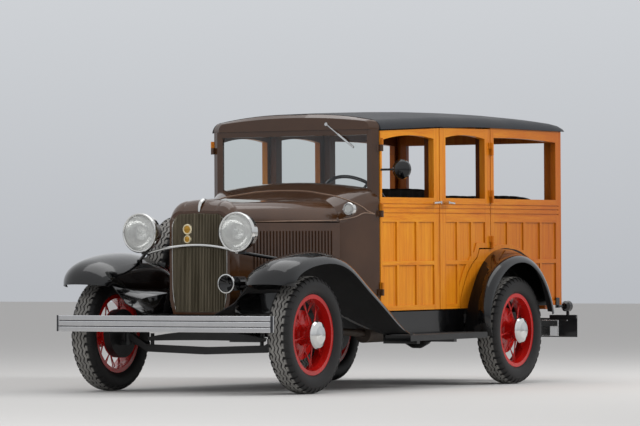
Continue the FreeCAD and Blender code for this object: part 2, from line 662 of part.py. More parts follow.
def side_leaf(name):
    """One wall leaf on the driver's side, drawn flat with its outer face at x = BODY_HALF_WIDTH."""
    y0, y1, front_stile, rear_stile, top_z, crown_y, battens = SIDE_LEAVES[name]
    window0 = y0 + front_stile
    window1 = y1 - rear_stile
    top = list(zip((window0, y0 + crown_y, window1), top_z))
    batten_y = [y0 + y for y in battens]
    y0 += DOOR_GAP / 2
    if name != "quarter":
        y1 -= DOOR_GAP / 2
    outer = BODY_HALF_WIDTH
    inner = outer - WALL
    above = 1800.0

    def member(a, b, low, high):
        return box((inner, outer), (a, b), (low, high))

    pieces = [box((inner, outer - PANEL_RECESS), (y0, y1), (BODY_BOTTOM, BELT_BOTTOM + 10))]
    pieces.append(member(y0, y1, BODY_BOTTOM, BODY_BOTTOM + BOTTOM_RAIL))
    pieces.append(member(y0, y1, MID_RAIL_Z, MID_RAIL_Z + MID_RAIL))
    pieces.append(member(y0, y1, BELT_BOTTOM, SILL_Z))
    pieces.append(member(y0, y1, 1560, above))
    pieces.append(member(y0, window0, BODY_BOTTOM, above))
    pieces.append(member(window1, y1, BODY_BOTTOM, above))
    for y in batten_y:
        pieces.append(member(y - BATTEN / 2, y + BATTEN / 2, BODY_BOTTOM, BELT_BOTTOM))
    whole = box((0, outer + 5), (y0, y1), (BODY_BOTTOM, above))
    if name == "quarter":
        pieces.append(arch_rail().common(whole))
    if name == "rear":
        pieces.append(plate_yz(rear_door_foot(DOOR_GAP + ARCH_RAIL), inner, outer).common(whole))
    leaf = fused(pieces)
    arch = Part.Arc(*[vec(inner - 5, y, z) for y, z in top]).toShape()
    low0 = vec(inner - 5, window0, SILL_Z)
    low1 = vec(inner - 5, window1, SILL_Z)
    sides = [Part.LineSegment(vec(inner - 5, *top[2]), low1).toShape(),
             Part.LineSegment(low1, low0).toShape(),
             Part.LineSegment(low0, vec(inner - 5, *top[0])).toShape()]
    window = Part.Face(Part.Wire([arch, *sides])).extrude(vec(WALL + 10, 0, 0))
    cuts = [window]
    for z in GROOVE_Z:
        groove_z = (z - GROOVE / 2, z + GROOVE / 2)
        cuts.append(box((outer - GROOVE_DEPTH, outer + 1), (y0 - 1, y1 + 1), groove_z))
    under_roof = RUNNING_FIT if name == "quarter" else ROOF_GAP
    trim = plate_yz([(y0 - 5, roof_edge_z(y0) - under_roof), (y1 + 5, roof_edge_z(y1) - under_roof),
                     (y1 + 5, above + 5), (y0 - 5, above + 5)], inner - 5, outer + 5)
    cuts.append(trim)
    if name == "quarter":
        cuts.append(wheel_arch())
    if name == "rear":
        cuts.append(plate_yz(rear_door_foot(DOOR_GAP), inner - 5, outer + 5))
    leaf = leaf.cut(cuts)
    if name == "front":
        taper = math.degrees(math.atan2(BODY_HALF_WIDTH - COWL_REAR_HALF_WIDTH, CENTRE_POST_Y - DOOR_FRONT_Y))
        leaf = leaf.rotate(vec(BODY_HALF_WIDTH, CENTRE_POST_Y, 0), vec(0, 0, 1), -taper)
    return leaf


def arch_rail():
    """Curved rail of the body side along the top of the rear fender."""
    hub_y, hub_z = in_level_body(WHEELBASE, TYRE_RADIUS)
    outline = []
    for degrees, at_body, at_crown, at_lip in REAR_FENDER:
        angle = math.radians(degrees)
        radius = at_body + ARCH_RAIL
        outline.append((hub_y + radius * math.cos(angle), hub_z + radius * math.sin(angle)))
    return plate_yz([*outline, (hub_y, hub_z)], BODY_HALF_WIDTH - WALL, BODY_HALF_WIDTH)


def fender_radii(degrees):
    """Crown and lip radius of the rear fender at an angle between two of its stations."""
    for before, after in zip(REAR_FENDER, REAR_FENDER[1:]):
        if after[0] <= degrees <= before[0]:
            part = (before[0] - degrees) / (before[0] - after[0])
            return [a + part * (b - a) for a, b in zip(before[2:], after[2:])]
    return REAR_FENDER[-1][2:]


def rear_door_foot(gap):
    """(y, z) outline of what the rear door's lower corner leaves free to swing clear of the fender."""
    hub_y, hub_z = in_level_body(WHEELBASE, TYRE_RADIUS)
    hinge_x = BODY_HALF_WIDTH + HINGE_RADIUS + HINGE_STANDOFF
    line = []
    for degrees in range(160, 117, -7):
        at_crown, at_lip = fender_radii(degrees)
        at_bend = bend_radius(at_crown, at_lip)
        angle = math.radians(degrees)
        reaches = []
        for x, radius in ((REAR_FENDER_CROWN_X, at_crown), (REAR_FENDER_BEND_X, at_bend)):
            reaches.append(math.hypot(x - hinge_x, REAR_POST_Y - hub_y - radius * math.cos(angle)))
        free = FENDER_CLEARANCE + gap
        line.append((REAR_POST_Y - max(reaches) - free, hub_z + at_crown * math.sin(angle) + free))
    top = hub_z + REAR_FENDER[4][1] + gap
    line.append((REAR_POST_Y - (REAR_FENDER_BEND_X - hinge_x) - gap, top))
    below = BODY_BOTTOM - 10
    return [(line[0][0], below), *line, (REAR_POST_Y + 20, top), (REAR_POST_Y + 20, below)]


def arch_board():
    """Fixed board under the rear door's curved foot, between the door and the wheelhouse."""
    low = box((0, 700), (1900, REAR_POST_Y + 12), (BODY_BOTTOM, 1000))
    board = plate_yz(rear_door_foot(0.0), BODY_HALF_WIDTH - WALL, BODY_HALF_WIDTH)
    return board.common(low).cut(wheel_arch())


def wheel_arch():
    """What the rear wheel takes out of the body side."""
    hub_y, hub_z = in_level_body(WHEELBASE, TYRE_RADIUS)
    start = (BODY_HALF_WIDTH - WALL - 60, hub_y, hub_z)
    return rod(start, (BODY_HALF_WIDTH + 60, hub_y, hub_z), WHEELHOUSE_RADIUS + 8)


def hinge_knuckles(x, y, towards, upper, base_x, heights):
    """Half of each side-door hinge: barrels at one post, joined to the piece that lies towards +Y or -Y."""
    pieces = []
    for z in heights:
        low = z + RUNNING_FIT / 2 if upper else z - HINGE_LENGTH
        high = z + HINGE_LENGTH if upper else z - RUNNING_FIT / 2
        barrel = rod((x, y, low), (x, y, high), HINGE_RADIUS)
        leaf_y = sorted((y + towards * 4, y + towards * HINGE_LEAF))
        leaf = box((base_x - 8, base_x + 5), leaf_y, (low, high))
        web_y = sorted((y, y + towards * 12))
        web = box((base_x - 4, x + 2), web_y, (low, high))
        pieces += [barrel, leaf, web]
    return pieces


def door(name):
    """A side door on the driver's side with its hinge halves and handle."""
    leaf = side_leaf(name)
    pieces = [leaf]
    hinge_y = DOOR_FRONT_Y if name == "front" else REAR_POST_Y
    towards = 1 if name == "front" else -1
    base_x = body_half_width(hinge_y)
    heights = FRONT_HINGE_Z if name == "front" else REAR_HINGE_Z
    pieces += hinge_knuckles(base_x + HINGE_RADIUS + HINGE_STANDOFF, hinge_y, towards, True, base_x, heights)
    handle_y = CENTRE_POST_Y - 52 if name == "front" else CENTRE_POST_Y + 52
    handle_z = 1196.0
    outer = body_half_width(handle_y) - 2
    pieces.append(rod((outer, handle_y, handle_z), (outer + 48, handle_y, handle_z), 10))
    lever = (outer + 38, handle_y - towards * 86, handle_z - 5)
    pieces.append(rod((outer + 38, handle_y, handle_z), lever, 7))
    return fused(pieces)


def side_panel():
    """Fixed wall behind the rear door, with the rear corner post and the rear door's lower hinge halves."""
    pieces = [side_leaf("quarter"), arch_board()]
    base_x = body_half_width(REAR_POST_Y)
    hinge_x = base_x + HINGE_RADIUS + HINGE_STANDOFF
    pieces += hinge_knuckles(hinge_x, REAR_POST_Y, 1, False, base_x, REAR_HINGE_Z)
    pieces.append(box((BODY_HALF_WIDTH - CORNER_POST, BODY_HALF_WIDTH), (BODY_REAR_Y - WALL, BODY_REAR_Y),
                      (BODY_BOTTOM, roof_edge_z(BODY_REAR_Y) - RUNNING_FIT)))
    return fused(pieces)


def centre_pillars():
    """Posts between the doors, just inside them, from the floor to the underside of the roof."""
    inner = BODY_HALF_WIDTH - WALL - DOOR_GAP
    hub_y, hub_z = in_level_body(WHEELBASE, TYRE_RADIUS)
    over_wheel = rod((0, hub_y, hub_z), (BODY_HALF_WIDTH, hub_y, hub_z), WHEELHOUSE_RADIUS)
    cover = roof()
    posts = []
    for y in (CENTRE_POST_Y, REAR_POST_Y):
        tall = box((inner - POST_DEPTH, inner), (y - POST_WIDTH / 2, y + POST_WIDTH / 2),
                   (BODY_BOTTOM + FLOOR_THICK, roof_edge_z(y) + 44))
        post = largest(tall.cut([over_wheel, cover]))
        posts += [post, mirrored(post)]
    return group(posts)


def floor():
    """Floor boards with toe board, drawn from the firewall to the tailgate."""
    half = BODY_HALF_WIDTH - WALL - DOOR_GAP
    front = 840.0
    front_half = 470.0
    rear = BODY_REAR_Y - WALL - RUNNING_FIT
    door_half = 570.0
    deck = plate_xy([(-front_half, front), (front_half, front), (door_half, DOOR_FRONT_Y),
                     (half - 6, CENTRE_POST_Y), (half, rear), (-half, rear), (-half + 6, CENTRE_POST_Y),
                     (-door_half, DOOR_FRONT_Y)], BODY_BOTTOM, BODY_BOTTOM + FLOOR_THICK)
    hub_y = in_level_body(WHEELBASE, TYRE_RADIUS)[0]
    notch = box((WHEELHOUSE_X, half + 5), (hub_y - WHEELHOUSE_RADIUS, hub_y + WHEELHOUSE_RADIUS),
                (BODY_BOTTOM - 5, BODY_BOTTOM + FLOOR_THICK + 5))
    return deck.cut([notch, mirrored(notch)])


def tailgate():
    """Lower tail door, hinged along its bottom edge."""
    inner = BODY_HALF_WIDTH - CORNER_POST - DOOR_GAP
    y0 = BODY_REAR_Y - WALL
    y1 = BODY_REAR_Y
    recess = y1 - PANEL_RECESS
    pieces = [box((-inner, inner), (y0, recess), (TAILGATE_BOTTOM, SILL_Z))]
    pieces.append(box((-inner, inner), (y0, y1), (TAILGATE_BOTTOM, TAILGATE_BOTTOM + BOTTOM_RAIL)))
    pieces.append(box((-inner, inner), (y0, y1), (MID_RAIL_Z, MID_RAIL_Z + MID_RAIL)))
    pieces.append(box((-inner, inner), (y0, y1), (BELT_BOTTOM, SILL_Z)))
    end_x = inner - TAILGATE_STILE / 2
    batten_x = inner / 3
    uprights = ((-end_x, TAILGATE_STILE), (-batten_x, BATTEN), (batten_x, BATTEN), (end_x, TAILGATE_STILE))
    for x, width in uprights:
        pieces.append(box((x - width / 2, x + width / 2), (y0, y1), (TAILGATE_BOTTOM, SILL_Z)))
    y = TAILGATE_HINGE_Y
    z = TAILGATE_HINGE_Z
    for x in (-TAILGATE_HINGE_X, TAILGATE_HINGE_X):
        end = x - RUNNING_FIT / 2
        pieces.append(rod((x - 40, y, z), (end, y, z), HINGE_RADIUS))
        pieces.append(box((x - 40, end), (y1, y + 4), (z + 1, z + 50)))
    handle_z = SILL_Z - 70
    handle_y = y1 + 26
    pieces.append(rod((-60, handle_y, handle_z), (60, handle_y, handle_z), 9))
    for x in (-52, 52):
        pieces.append(rod((x, y1 - 2, handle_z), (x, handle_y, handle_z), 6))
    return fused(pieces)


def tail_sill():
    """Cross beam under the tailgate with the fixed hinge halves, and the beam over the rear opening."""
    half = BODY_HALF_WIDTH - CORNER_POST
    y0 = BODY_REAR_Y - WALL
    sill = box((-half, half), (y0, BODY_REAR_Y), (BODY_BOTTOM - 30, TAILGATE_BOTTOM - DOOR_GAP))
    pieces = [sill]
    y = TAILGATE_HINGE_Y
    z = TAILGATE_HINGE_Z
    for x in (-TAILGATE_HINGE_X, TAILGATE_HINGE_X):
        start = x + RUNNING_FIT / 2
        pieces.append(rod((start, y, z), (x + 40, y, z), HINGE_RADIUS))
        pieces.append(box((start, x + 40), (BODY_REAR_Y, y + 4), (z - 40, z - 1)))
    header = box((-half, half), (y0, BODY_REAR_Y), (1622, roof_edge_z(BODY_REAR_Y) + 43))
    return group([fused(pieces), largest(header.cut(roof()))])


# Roof stations: y, half width over the body side, drip edge z, crown z, thickness
ROOF = (
    (DOOR_FRONT_Y - 6, 632, 1656, 1766, 30),
    (1450, 653, 1673, 1785, 30),
    (CENTRE_POST_Y, 669, 1690, 1799, 30),
    (CENTRE_POST_Y + 350, 671, 1697, 1809, 30),
    (REAR_POST_Y - 3, 671, 1701, 1814, 30),
    (BODY_REAR_Y - 670, 671, 1701, 1814, 30),
    (BODY_REAR_Y - 320, 671, 1701, 1806, 30),
    (BODY_REAR_Y - 120, 671, 1701, 1791, 30),
    (BODY_REAR_Y - 10, 669, 1701, 1772, 18),
    (BODY_REAR_Y + 52, 660, 1701, 1748, 10),
)


def roof():
    """Crowned roof with a drip edge, hollow underneath."""
    wires = []
    for y, half, edge, crown, thick in ROOF:
        rise = crown - edge
        side = half - 8
        outer = [(-half, edge), (-side + 2, edge + 0.28 * rise), (-half + 62, edge + 0.60 * rise),
                 (-0.55 * half, edge + 0.88 * rise), (0, crown), (0.55 * half, edge + 0.88 * rise),
                 (half - 62, edge + 0.60 * rise), (side - 2, edge + 0.28 * rise), (half, edge)]

        def place(u, v, y=y):
            return vec(u, y, v)

        wires.append(sheet_section(outer, thick, place, (thick, 0), (-thick, 0)))
    return Part.makeLoft(wires, True, True)


# Windshield header stations: y, half width, bottom z, top corner z, crown z
HEADER = (
    (1046, 562, 1660, 1716, 1742),
    (1062, 590, 1658, 1722, 1752),
    (1079, 620, 1656, 1720, 1762),
)


def windshield_frame():
    """Steel posts beside the glass and the rounded header over it."""
    foot = 1185.0
    top = 1660.0
    rear = DOOR_FRONT_Y - 6
    section = ((WINDSHIELD_HALF, WINDSHIELD_Y - 2), (580, WINDSHIELD_Y - 7), (584, WINDSHIELD_Y - 4),
               (618, rear), (560, rear), (WINDSHIELD_HALF, rear - 2))
    posts = []
    for side in (-1, 1):
        post = plate_xy([(side * x, y) for x, y in section], foot, top)
        posts.append(post.cut(cowl_solid(0)))
    header = []
    for y, half, bottom, corner, crown in HEADER:
        outer = [(-half, bottom), (-half + 4, (bottom + corner) / 2), (-half + 34, corner - 4),
                 (-0.5 * half, crown - 8), (0, crown), (0.5 * half, crown - 8),
                 (half - 34, corner - 4), (half - 4, (bottom + corner) / 2), (half, bottom)]
        points = [vec(u, y, v) for u, v in outer]
        edges = arcs_through(points)
        edges.append(Part.LineSegment(points[-1], points[0]).toShape())
        header.append(Part.Wire(edges))
    pieces = [*posts, loft(header)]
    lintel_half = WINDSHIELD_HALF + 5
    pieces.append(box((-lintel_half, lintel_half), (WINDSHIELD_Y - 4, rear), (WINDSHIELD_TOP, top + 2)))
    base_x = body_half_width(DOOR_FRONT_Y)
    hinge_x = base_x + HINGE_RADIUS + HINGE_STANDOFF
    upper_only = hinge_knuckles(hinge_x, DOOR_FRONT_Y, -1, False, base_x, FRONT_HINGE_Z[2:])
    pieces += upper_only
    pieces += [mirrored(s) for s in upper_only]
    return fused(pieces)


def windshield_glass():
    across = (-WINDSHIELD_HALF, WINDSHIELD_HALF)
    pane = box(across, (WINDSHIELD_Y + 4, WINDSHIELD_Y + 10), (SILL_Z + 14, WINDSHIELD_TOP))
    return pane.cut(cowl_solid(0))


# Cowl stations: y, half width, bottom z, shoulder z, top corner x and z, crown z
COWL = (
    (804, 485, 478, 1066, 308, 1217, 1220),
    (900, 538, 478, 1106, 420, 1247, 1264),
    (985, 575, 488, 1164, 487, 1274, 1302),
    (1055, 607, 499, 1186, 529, 1284, 1325),
    (1079, 618, 503, 1190, 540, 1284, 1325),
)


def cowl_solid(inset):
    """The cowl's outer form, or the room inside it, which runs out below and behind."""
    wires = []
    for y, half, bottom, shoulder, corner_x, corner_z, crown in COWL:
        bottom -= 2 * inset
        if y == COWL[-1][0]:
            y += inset
        half -= inset
        corner_x -= inset / 2
        corner_z -= inset
        crown -= inset
        mid_x = corner_x + 0.72 * (half - corner_x)
        mid_z = shoulder + 0.68 * (corner_z - shoulder)
        left = [vec(-half, y, shoulder), vec(-mid_x, y, mid_z), vec(-corner_x, y, corner_z)]
        over = [vec(-corner_x, y, corner_z), vec(0, y, crown), vec(corner_x, y, corner_z)]
        right = [vec(corner_x, y, corner_z), vec(mid_x, y, mid_z), vec(half, y, shoulder)]
        low_left = vec(-half, y, bottom)
        low_right = vec(half, y, bottom)
        wires.append(Part.Wire([Part.LineSegment(low_left, left[0]).toShape(), Part.Arc(*left).toShape(),
                                Part.Arc(*over).toShape(), Part.Arc(*right).toShape(),
                                Part.LineSegment(right[2], low_right).toShape(),
                                Part.LineSegment(low_right, low_left).toShape()]))
    return loft(wires)


def cowl():
    """Steel cowl from the firewall to the front doors, open underneath, with the hood's centre hinge pin."""
    hollow = cowl_solid(COWL_SHEET)
    firewall = box((-700, 700), (700, HOOD_REAR_Y + HOOD_GAP + 8), (400, 1500))
    over_frame = box((-RAIL_REAR_X - 4, RAIL_REAR_X + 4), (700, 1200), (400, RAIL_TOP))
    walls = cowl_solid(0).cut([hollow.cut(firewall), over_frame])
    pin_end = (0, HOOD_REAR_Y + HOOD_GAP + 2, HOOD_HINGE_Z)
    pin = rod((0, HOOD_FRONT_Y - HOOD_GAP, HOOD_HINGE_Z), pin_end, HOOD_PIN_RADIUS)
    base_x = body_half_width(DOOR_FRONT_Y)
    hinge_x = base_x + HINGE_RADIUS + HINGE_STANDOFF
    lower = hinge_knuckles(hinge_x, DOOR_FRONT_Y, -1, False, base_x, FRONT_HINGE_Z[:2])
    return fused([walls, pin, *lower, *[mirrored(s) for s in lower]])


# Hood stations: y, half width at the moulding, shoulder x, z and crown z
HOOD = (
    (HOOD_FRONT_Y, 238, 150, 1184, 1212),
    (400, 361, 240, 1200, 1215),
    (HOOD_REAR_Y, 484, 308, 1213, 1217),
)


def hood_half_width(y):
    """Half width of the hood at its side moulding."""
    front = HOOD[0]
    rear = HOOD[-1]
    return front[1] + (rear[1] - front[1]) * (y - front[0]) / (rear[0] - front[0])


def hood_top(hinge_front):
    """Left top leaf of the hood, from the centre hinge to the side. Its first knuckle is at hinge_front."""
    wires = []
    for y, half, shoulder_x, shoulder_z, crown in HOOD:
        start = 2 * HOOD_HINGE_RADIUS
        mid_x = shoulder_x + 0.74 * (half - shoulder_x)
        mid_z = MOULDING_Z + 6 + 0.66 * (shoulder_z - MOULDING_Z)
        points = [(start, crown), (shoulder_x / 2, (crown + shoulder_z) / 2 + 1), (shoulder_x, shoulder_z),
                  (mid_x, mid_z), (half, MOULDING_Z + 4)]
        wires.append(sheet_section(points, HOOD_SHEET, lambda u, v, y=y: vec(u, y, v)))
    pieces = [loft(wires)]
    bores = []
    z = HOOD_HINGE_Z
    for y0 in range(hinge_front, 700, HOOD_KNUCKLE_PITCH):
        y1 = y0 + HOOD_KNUCKLE
        pieces.append(rod((0, y0, z), (0, y1, z), HOOD_HINGE_RADIUS))
        pieces.append(box((2, start + 3), (y0, y1), (z - 1, z + HOOD_HINGE_RADIUS)))
        bores.append(rod((0, y0 - 1, z), (0, y1 + 1, z), HOOD_PIN_RADIUS + RUNNING_FIT))
    return fused(pieces).cut(bores)


def hood_side():
    """Left side leaf of the hood with its louvres."""
    y0 = HOOD_FRONT_Y - HOOD_GAP
    y1 = HOOD_REAR_Y + HOOD_GAP
    x0 = hood_half_width(y0)
    x1 = hood_half_width(y1)
    outline = [(x0, y0), (x1, y1), (x1 - HOOD_SHEET, y1), (x0 - HOOD_SHEET, y0)]
    sheet = plate_xy(outline, HOOD_SIDE_BOTTOM, MOULDING_Z - 3)
    pieces = [sheet]
    slope = math.atan2(x1 - x0, y1 - y0)
    pitch = (LOUVRE_REAR_Y - LOUVRE_FRONT_Y) / (LOUVRE_COUNT - 1)
    for i in range(LOUVRE_COUNT):
        y = LOUVRE_FRONT_Y + i * pitch
        louvre = box((-2, 7), (-5, 5), (LOUVRE_TOP - LOUVRE_HEIGHT, LOUVRE_TOP))
        louvre = louvre.rotate(vec(0, 0, 0), vec(0, 0, 1), -math.degrees(slope))
        louvre.translate(vec(hood_half_width(y), y, 0))
        pieces.append(louvre)
    return fused(pieces)


def shell_outline(half, top, corner_z, bottom, y):
    """Closed radiator outline: a crowned top on straight sides that draw in at the foot."""
    foot = half - 26
    points_left = [vec(-half, y, corner_z), vec(-half * 0.86, y, corner_z + 0.70 * (top - corner_z)),
                   vec(-half * 0.52, y, corner_z + 0.93 * (top - corner_z))]
    over = [points_left[2], vec(0, y, top), vec(-points_left[2].x, y, points_left[2].z)]
    right = [over[2], vec(-points_left[1].x, y, points_left[1].z), vec(half, y, corner_z)]
    low_right = [vec(half, y, bottom + 90), vec(foot, y, bottom)]
    low_left = [vec(-foot, y, bottom), vec(-half, y, bottom + 90)]
    edges = [Part.Arc(*points_left).toShape(), Part.Arc(*over).toShape(), Part.Arc(*right).toShape(),
             Part.LineSegment(right[2], low_right[0]).toShape(), Part.LineSegment(*low_right).toShape(),
             Part.LineSegment(low_right[1], low_left[0]).toShape(), Part.LineSegment(*low_left).toShape(),
             Part.LineSegment(low_left[1], points_left[0]).toShape()]
    return Part.Wire(edges)


def radiator_shell():
    """Rounded shell in front of the hood, open at its grille."""
    rear = HOOD_FRONT_Y - HOOD_GAP
    outer = loft([shell_outline(219, 1140, 1070, RAIL_TOP, SHELL_FRONT_Y),
                  shell_outline(228, 1184, 1082, RAIL_TOP, -56),
                  shell_outline(237, 1211, 1078, RAIL_TOP, rear)])
    hole = loft([shell_outline(199, 1122, 1055, 514, SHELL_FRONT_Y - 5),
                 shell_outline(199, 1122, 1055, 514, rear + 5)])
    hollow = loft([shell_outline(219, 1164, 1066, 506, -56), shell_outline(228, 1199, 1068, 506, rear + 1)])
    return outer.cut([hole, hollow])


def radiator_grille():
    """Upright grille bars in front of the core, joined by two cross bars."""
    core = loft([shell_outline(196, 1119, 1053, 516, y) for y in (-40, 40)])
    clip = loft([shell_outline(198.7, 1121.7, 1054.7, 514.3, y) for y in (-140, 60)])
    pitch = 2 * 192.0 / (GRILLE_BAR_COUNT - 1)
    bars = []
    for i in range(GRILLE_BAR_COUNT):
        x = -192.0 + i * pitch
        front = SHELL_FRONT_Y - 22 * (1 - (x / 200.0) ** 2)
        bars.append(box((x - GRILLE_BAR / 2, x + GRILLE_BAR / 2), (front, -38), (500, 1130)))
    cross = [box((-196, 196), (-84, -74), (z, z + 5)) for z in (640.0, 800.0, 960.0)]
    return fused([core, *[bar.common(clip) for bar in bars], *[bar.common(clip) for bar in cross]])


def headlamp():
    """Left lamp: a bowl behind a rim, open in front for the lens."""
    x, y, z = HEADLAMP
    r = HEADLAMP_RADIUS
    d = HEADLAMP_DEPTH
    seat = LENS_RADIUS + RUNNING_FIT
    outside = [(seat, y - 6), (r - 4, y - 12), (r, y - 4), (r, y + 12), (r - 8, y + 20),
               (r * 0.86, y + 0.42 * d), (r * 0.62, y + 0.74 * d), (r * 0.34, y + 0.93 * d), (0, y + d)]
    inside = [(0, y + d - 8), (r * 0.30, y + 0.86 * d), (r * 0.56, y + 0.68 * d), (r * 0.80, y + 0.38 * d),
              (seat, y + 14)]
    return turned_about_y([*outside, *inside], x, z)


def headlamp_lens():
    x, y, z = HEADLAMP
    r = LENS_RADIUS
    profile = [(0, y - 26), (r * 0.5, y - 22), (r * 0.85, y - 13), (r, y - 5), (r, y + 2), (0, y - 8)]
    return turned_about_y(profile, x, z)


def headlamp_bar():
    """Curved bar across the grille that carries the lamps, with a stay from each lamp to its fender."""
    x, y, z = HEADLAMP
    stay_top = z - HEADLAMP_RADIUS + 4
    mid = vec(0, -122, 926)
    end = vec(x - 40, y + 62, stay_top)
    arc = Part.Arc(vec(-end.x, end.y, end.z), mid, end).toShape()
    path = Part.Wire([arc])
    tangent = arc.tangentAt(arc.FirstParameter)
    circle = Part.Wire([Part.makeCircle(9, vec(-end.x, end.y, end.z), tangent)])
    pieces = [path.makePipeShell([circle], True, True)]
    for side in (-1, 1):
        pieces.append(rod((side * x, y + 62, stay_top - 14), (side * x, y + 62, stay_top + 16), 26))
        pieces.append(rod((side * (x - 44), y + 62, stay_top - 2), (side * x, y + 62, stay_top - 6), 10))
        pieces.append(rod((side * x, y + 62, stay_top - 6), (side * 526, 46, 832), 11))
        pieces.append(rod((side * 526, 46, 838), (side * 526, 46, 800), 16))
    fender = front_fender()
    lamp = headlamp()
    return largest(fused(pieces).cut([fender, mirrored(fender), lamp, mirrored(lamp)]))


def horn():
    """Trumpet horn in front of the fender on the driver's side."""
    x = 296.0
    z = 690.0
    bell = turned_about_y([(0, -150), (10, -150), (14, -185), (26, -215), (50, -240), (56, -250),
                           (50, -250), (20, -226), (0, -220)], x, z)
    motor = rod((x, -152, z), (x, -60, z), 44)
    stay = rod((x + 10, -90, z), (x + 10, -90, z - 76), 9)
    return largest(fused([bell, motor, stay]).cut(front_fender()))


def bumper_band(depth, z0, z1):
    """A bowed bar with its ends bent back, its face set in by a depth from the bumper's own."""
    y = FRONT_BUMPER_Y
    half = BUMPER_HALF_WIDTH
    line = [(-half, y + 46), (-half + 60, y + BUMPER_BOW), (0, y - BUMPER_BOW), (half - 60, y + BUMPER_BOW),
            (half, y + 46)]
    narrowing = 0.0008
    face = [vec(u * (1 - narrowing * depth), v + depth, z0) for u, v in line]
    back = [vec(u * (1 - narrowing * BUMPER_THICK), v + BUMPER_THICK, z0) for u, v in line]
    edges = []
    for bend, after in ((face, back[4]), (back[::-1], face[0])):
        edges.append(Part.LineSegment(bend[0], bend[1]).toShape())
        edges.append(Part.Arc(*bend[1:4]).toShape())
        edges.append(Part.LineSegment(bend[3], bend[4]).toShape())
        edges.append(Part.LineSegment(bend[4], after).toShape())
    return Part.Face(Part.Wire(edges)).extrude(vec(0, 0, z1 - z0))


def front_bumper():
    """Spring-steel bar with two grooves, bent back at its ends, on two arms from the frame."""
    z0 = FRONT_BUMPER_Z - BUMPER_HEIGHT / 2
    z1 = z0 + BUMPER_HEIGHT
    y = FRONT_BUMPER_Y
    half = BUMPER_HALF_WIDTH
    pieces = [bumper_band(BUMPER_GROOVE_DEPTH, z0, z1)]
    band = (BUMPER_HEIGHT - 2 * BUMPER_GROOVE) / 3
    for i in range(3):
        low = z0 + i * (band + BUMPER_GROOVE)
        pieces.append(bumper_band(0, low, low + band))
    arm_rear = -200.0
    beside = rail_x(in_level_body(arm_rear, FRONT_BUMPER_Z)[0])
    for side in (-1, 1):
        pieces.append(rod((side * (half - 4), y + 50, z0), (side * (half - 4), y + 50, z1), 12))
        line = [(420, y + 1), (432, y + 10), (RAIL_FRONT_X + 12, RAIL_FRONT_Y + 10), (beside + 12, arm_rear),
                (beside + RUNNING_FIT, arm_rear), (RAIL_FRONT_X + RUNNING_FIT, RAIL_FRONT_Y)]
        pieces.append(plate_xy([(side * u, v) for u, v in line], FRONT_BUMPER_Z - 26, FRONT_BUMPER_Z + 26))
    return fused(pieces)


def rear_bumper():
    """Bar behind the body on two arms from the frame."""
    z0 = REAR_BUMPER_Z - REAR_BUMPER_HEIGHT / 2
    y = REAR_BUMPER_Y
    half = REAR_BUMPER_HALF_WIDTH
    back_y = y - BUMPER_THICK
    outer = [vec(-half, y - 50, z0), vec(-half + 80, y - 12, z0), vec(0, y, z0), vec(half - 80, y - 12, z0),
             vec(half, y - 50, z0)]
    inner = [vec(half - 4, y - 60, z0), vec(half - 82, back_y - 12, z0), vec(0, back_y, z0),
             vec(-half + 82, back_y - 12, z0), vec(-half + 4, y - 60, z0)]
    edges = []
    for line, after in ((outer, inner[0]), (inner, outer[0])):
        edges.append(Part.LineSegment(line[0], line[1]).toShape())
        edges.append(Part.Arc(*line[1:4]).toShape())
        edges.append(Part.LineSegment(line[3], line[4]).toShape())
        edges.append(Part.LineSegment(line[4], after).toShape())
    pieces = [Part.Face(Part.Wire(edges)).extrude(vec(0, 0, REAR_BUMPER_HEIGHT))]
    beside = RAIL_REAR_X + RUNNING_FIT
    bend_y = on_road(RAIL_REAR_Y, RAIL_TOP - RAIL_DEPTH)[0]
    line = [(400, back_y - 2), (414, back_y - 2), (beside + 12, bend_y + 4), (beside + 12, bend_y - 150),
            (beside, bend_y - 150), (beside, bend_y)]
    for side in (-1, 1):
        pieces.append(plate_xy([(side * u, v) for u, v in line], REAR_BUMPER_Z + 10, REAR_BUMPER_Z + 90))
    return fused(pieces)


# Benches: front y of the cushion, y where the back rest starts, half width, z of the top, z of the base
SEATS = {
    "front": (CENTRE_POST_Y - 330, CENTRE_POST_Y + 90, 540, 1296, 690),
    "middle": (REAR_POST_Y - 333, REAR_POST_Y + 37, 540, 1255, 690),
    "rear": (BODY_REAR_Y - 570, BODY_REAR_Y - 240, 500, 1262, 690),
}


def seat(front, back_y, half, top, base):
    """A bench: cushion on a box, and a back rest that leans a little."""
    cushion = box((-half, half), (front, back_y), (base + 10, base + 150))
    outline = [(back_y - 20, base + 120), (back_y + 90, base + 120), (back_y + 130, top), (back_y + 60, top)]
    back = plate_yz(outline, -half, half)
    on_floor = BODY_BOTTOM + FLOOR_THICK + RUNNING_FIT
    plinth = box((-half + 30, half - 30), (front + 40, back_y - 10), (on_floor, base + 12))
    return fused([cushion, back, plinth])


def column_axis():
    a = vec(*COLUMN_FOOT)
    b = vec(*STEERING_CENTRE)
    return (b - a).normalize()


def steering_wheel():
    """Rim, four spokes and a hub on the column's axis."""
    centre = vec(*STEERING_CENTRE)
    axis = column_axis()
    rim = Part.makeTorus(STEERING_RADIUS, 11, centre, axis)
    hub = Part.makeCylinder(36, 46, centre - axis * 30, axis)
    pieces = [rim, hub]
    side = vec(1, 0, 0)
    up = axis.cross(side).normalize()
    for degrees in (45, 135, 225, 315):
        angle = math.radians(degrees)
        way = side * math.cos(angle) + up * math.sin(angle)
        pieces.append(Part.makeCylinder(9, STEERING_RADIUS - 2, centre, way))
    return fused(pieces)


def steering_column():
    """Tube from the firewall up to the wheel."""
    axis = column_axis()
    foot = vec(*COLUMN_FOOT)
    length = (vec(*STEERING_CENTRE) - foot).Length - 30 - RUNNING_FIT
    return Part.makeCylinder(COLUMN_RADIUS, length, foot, axis)


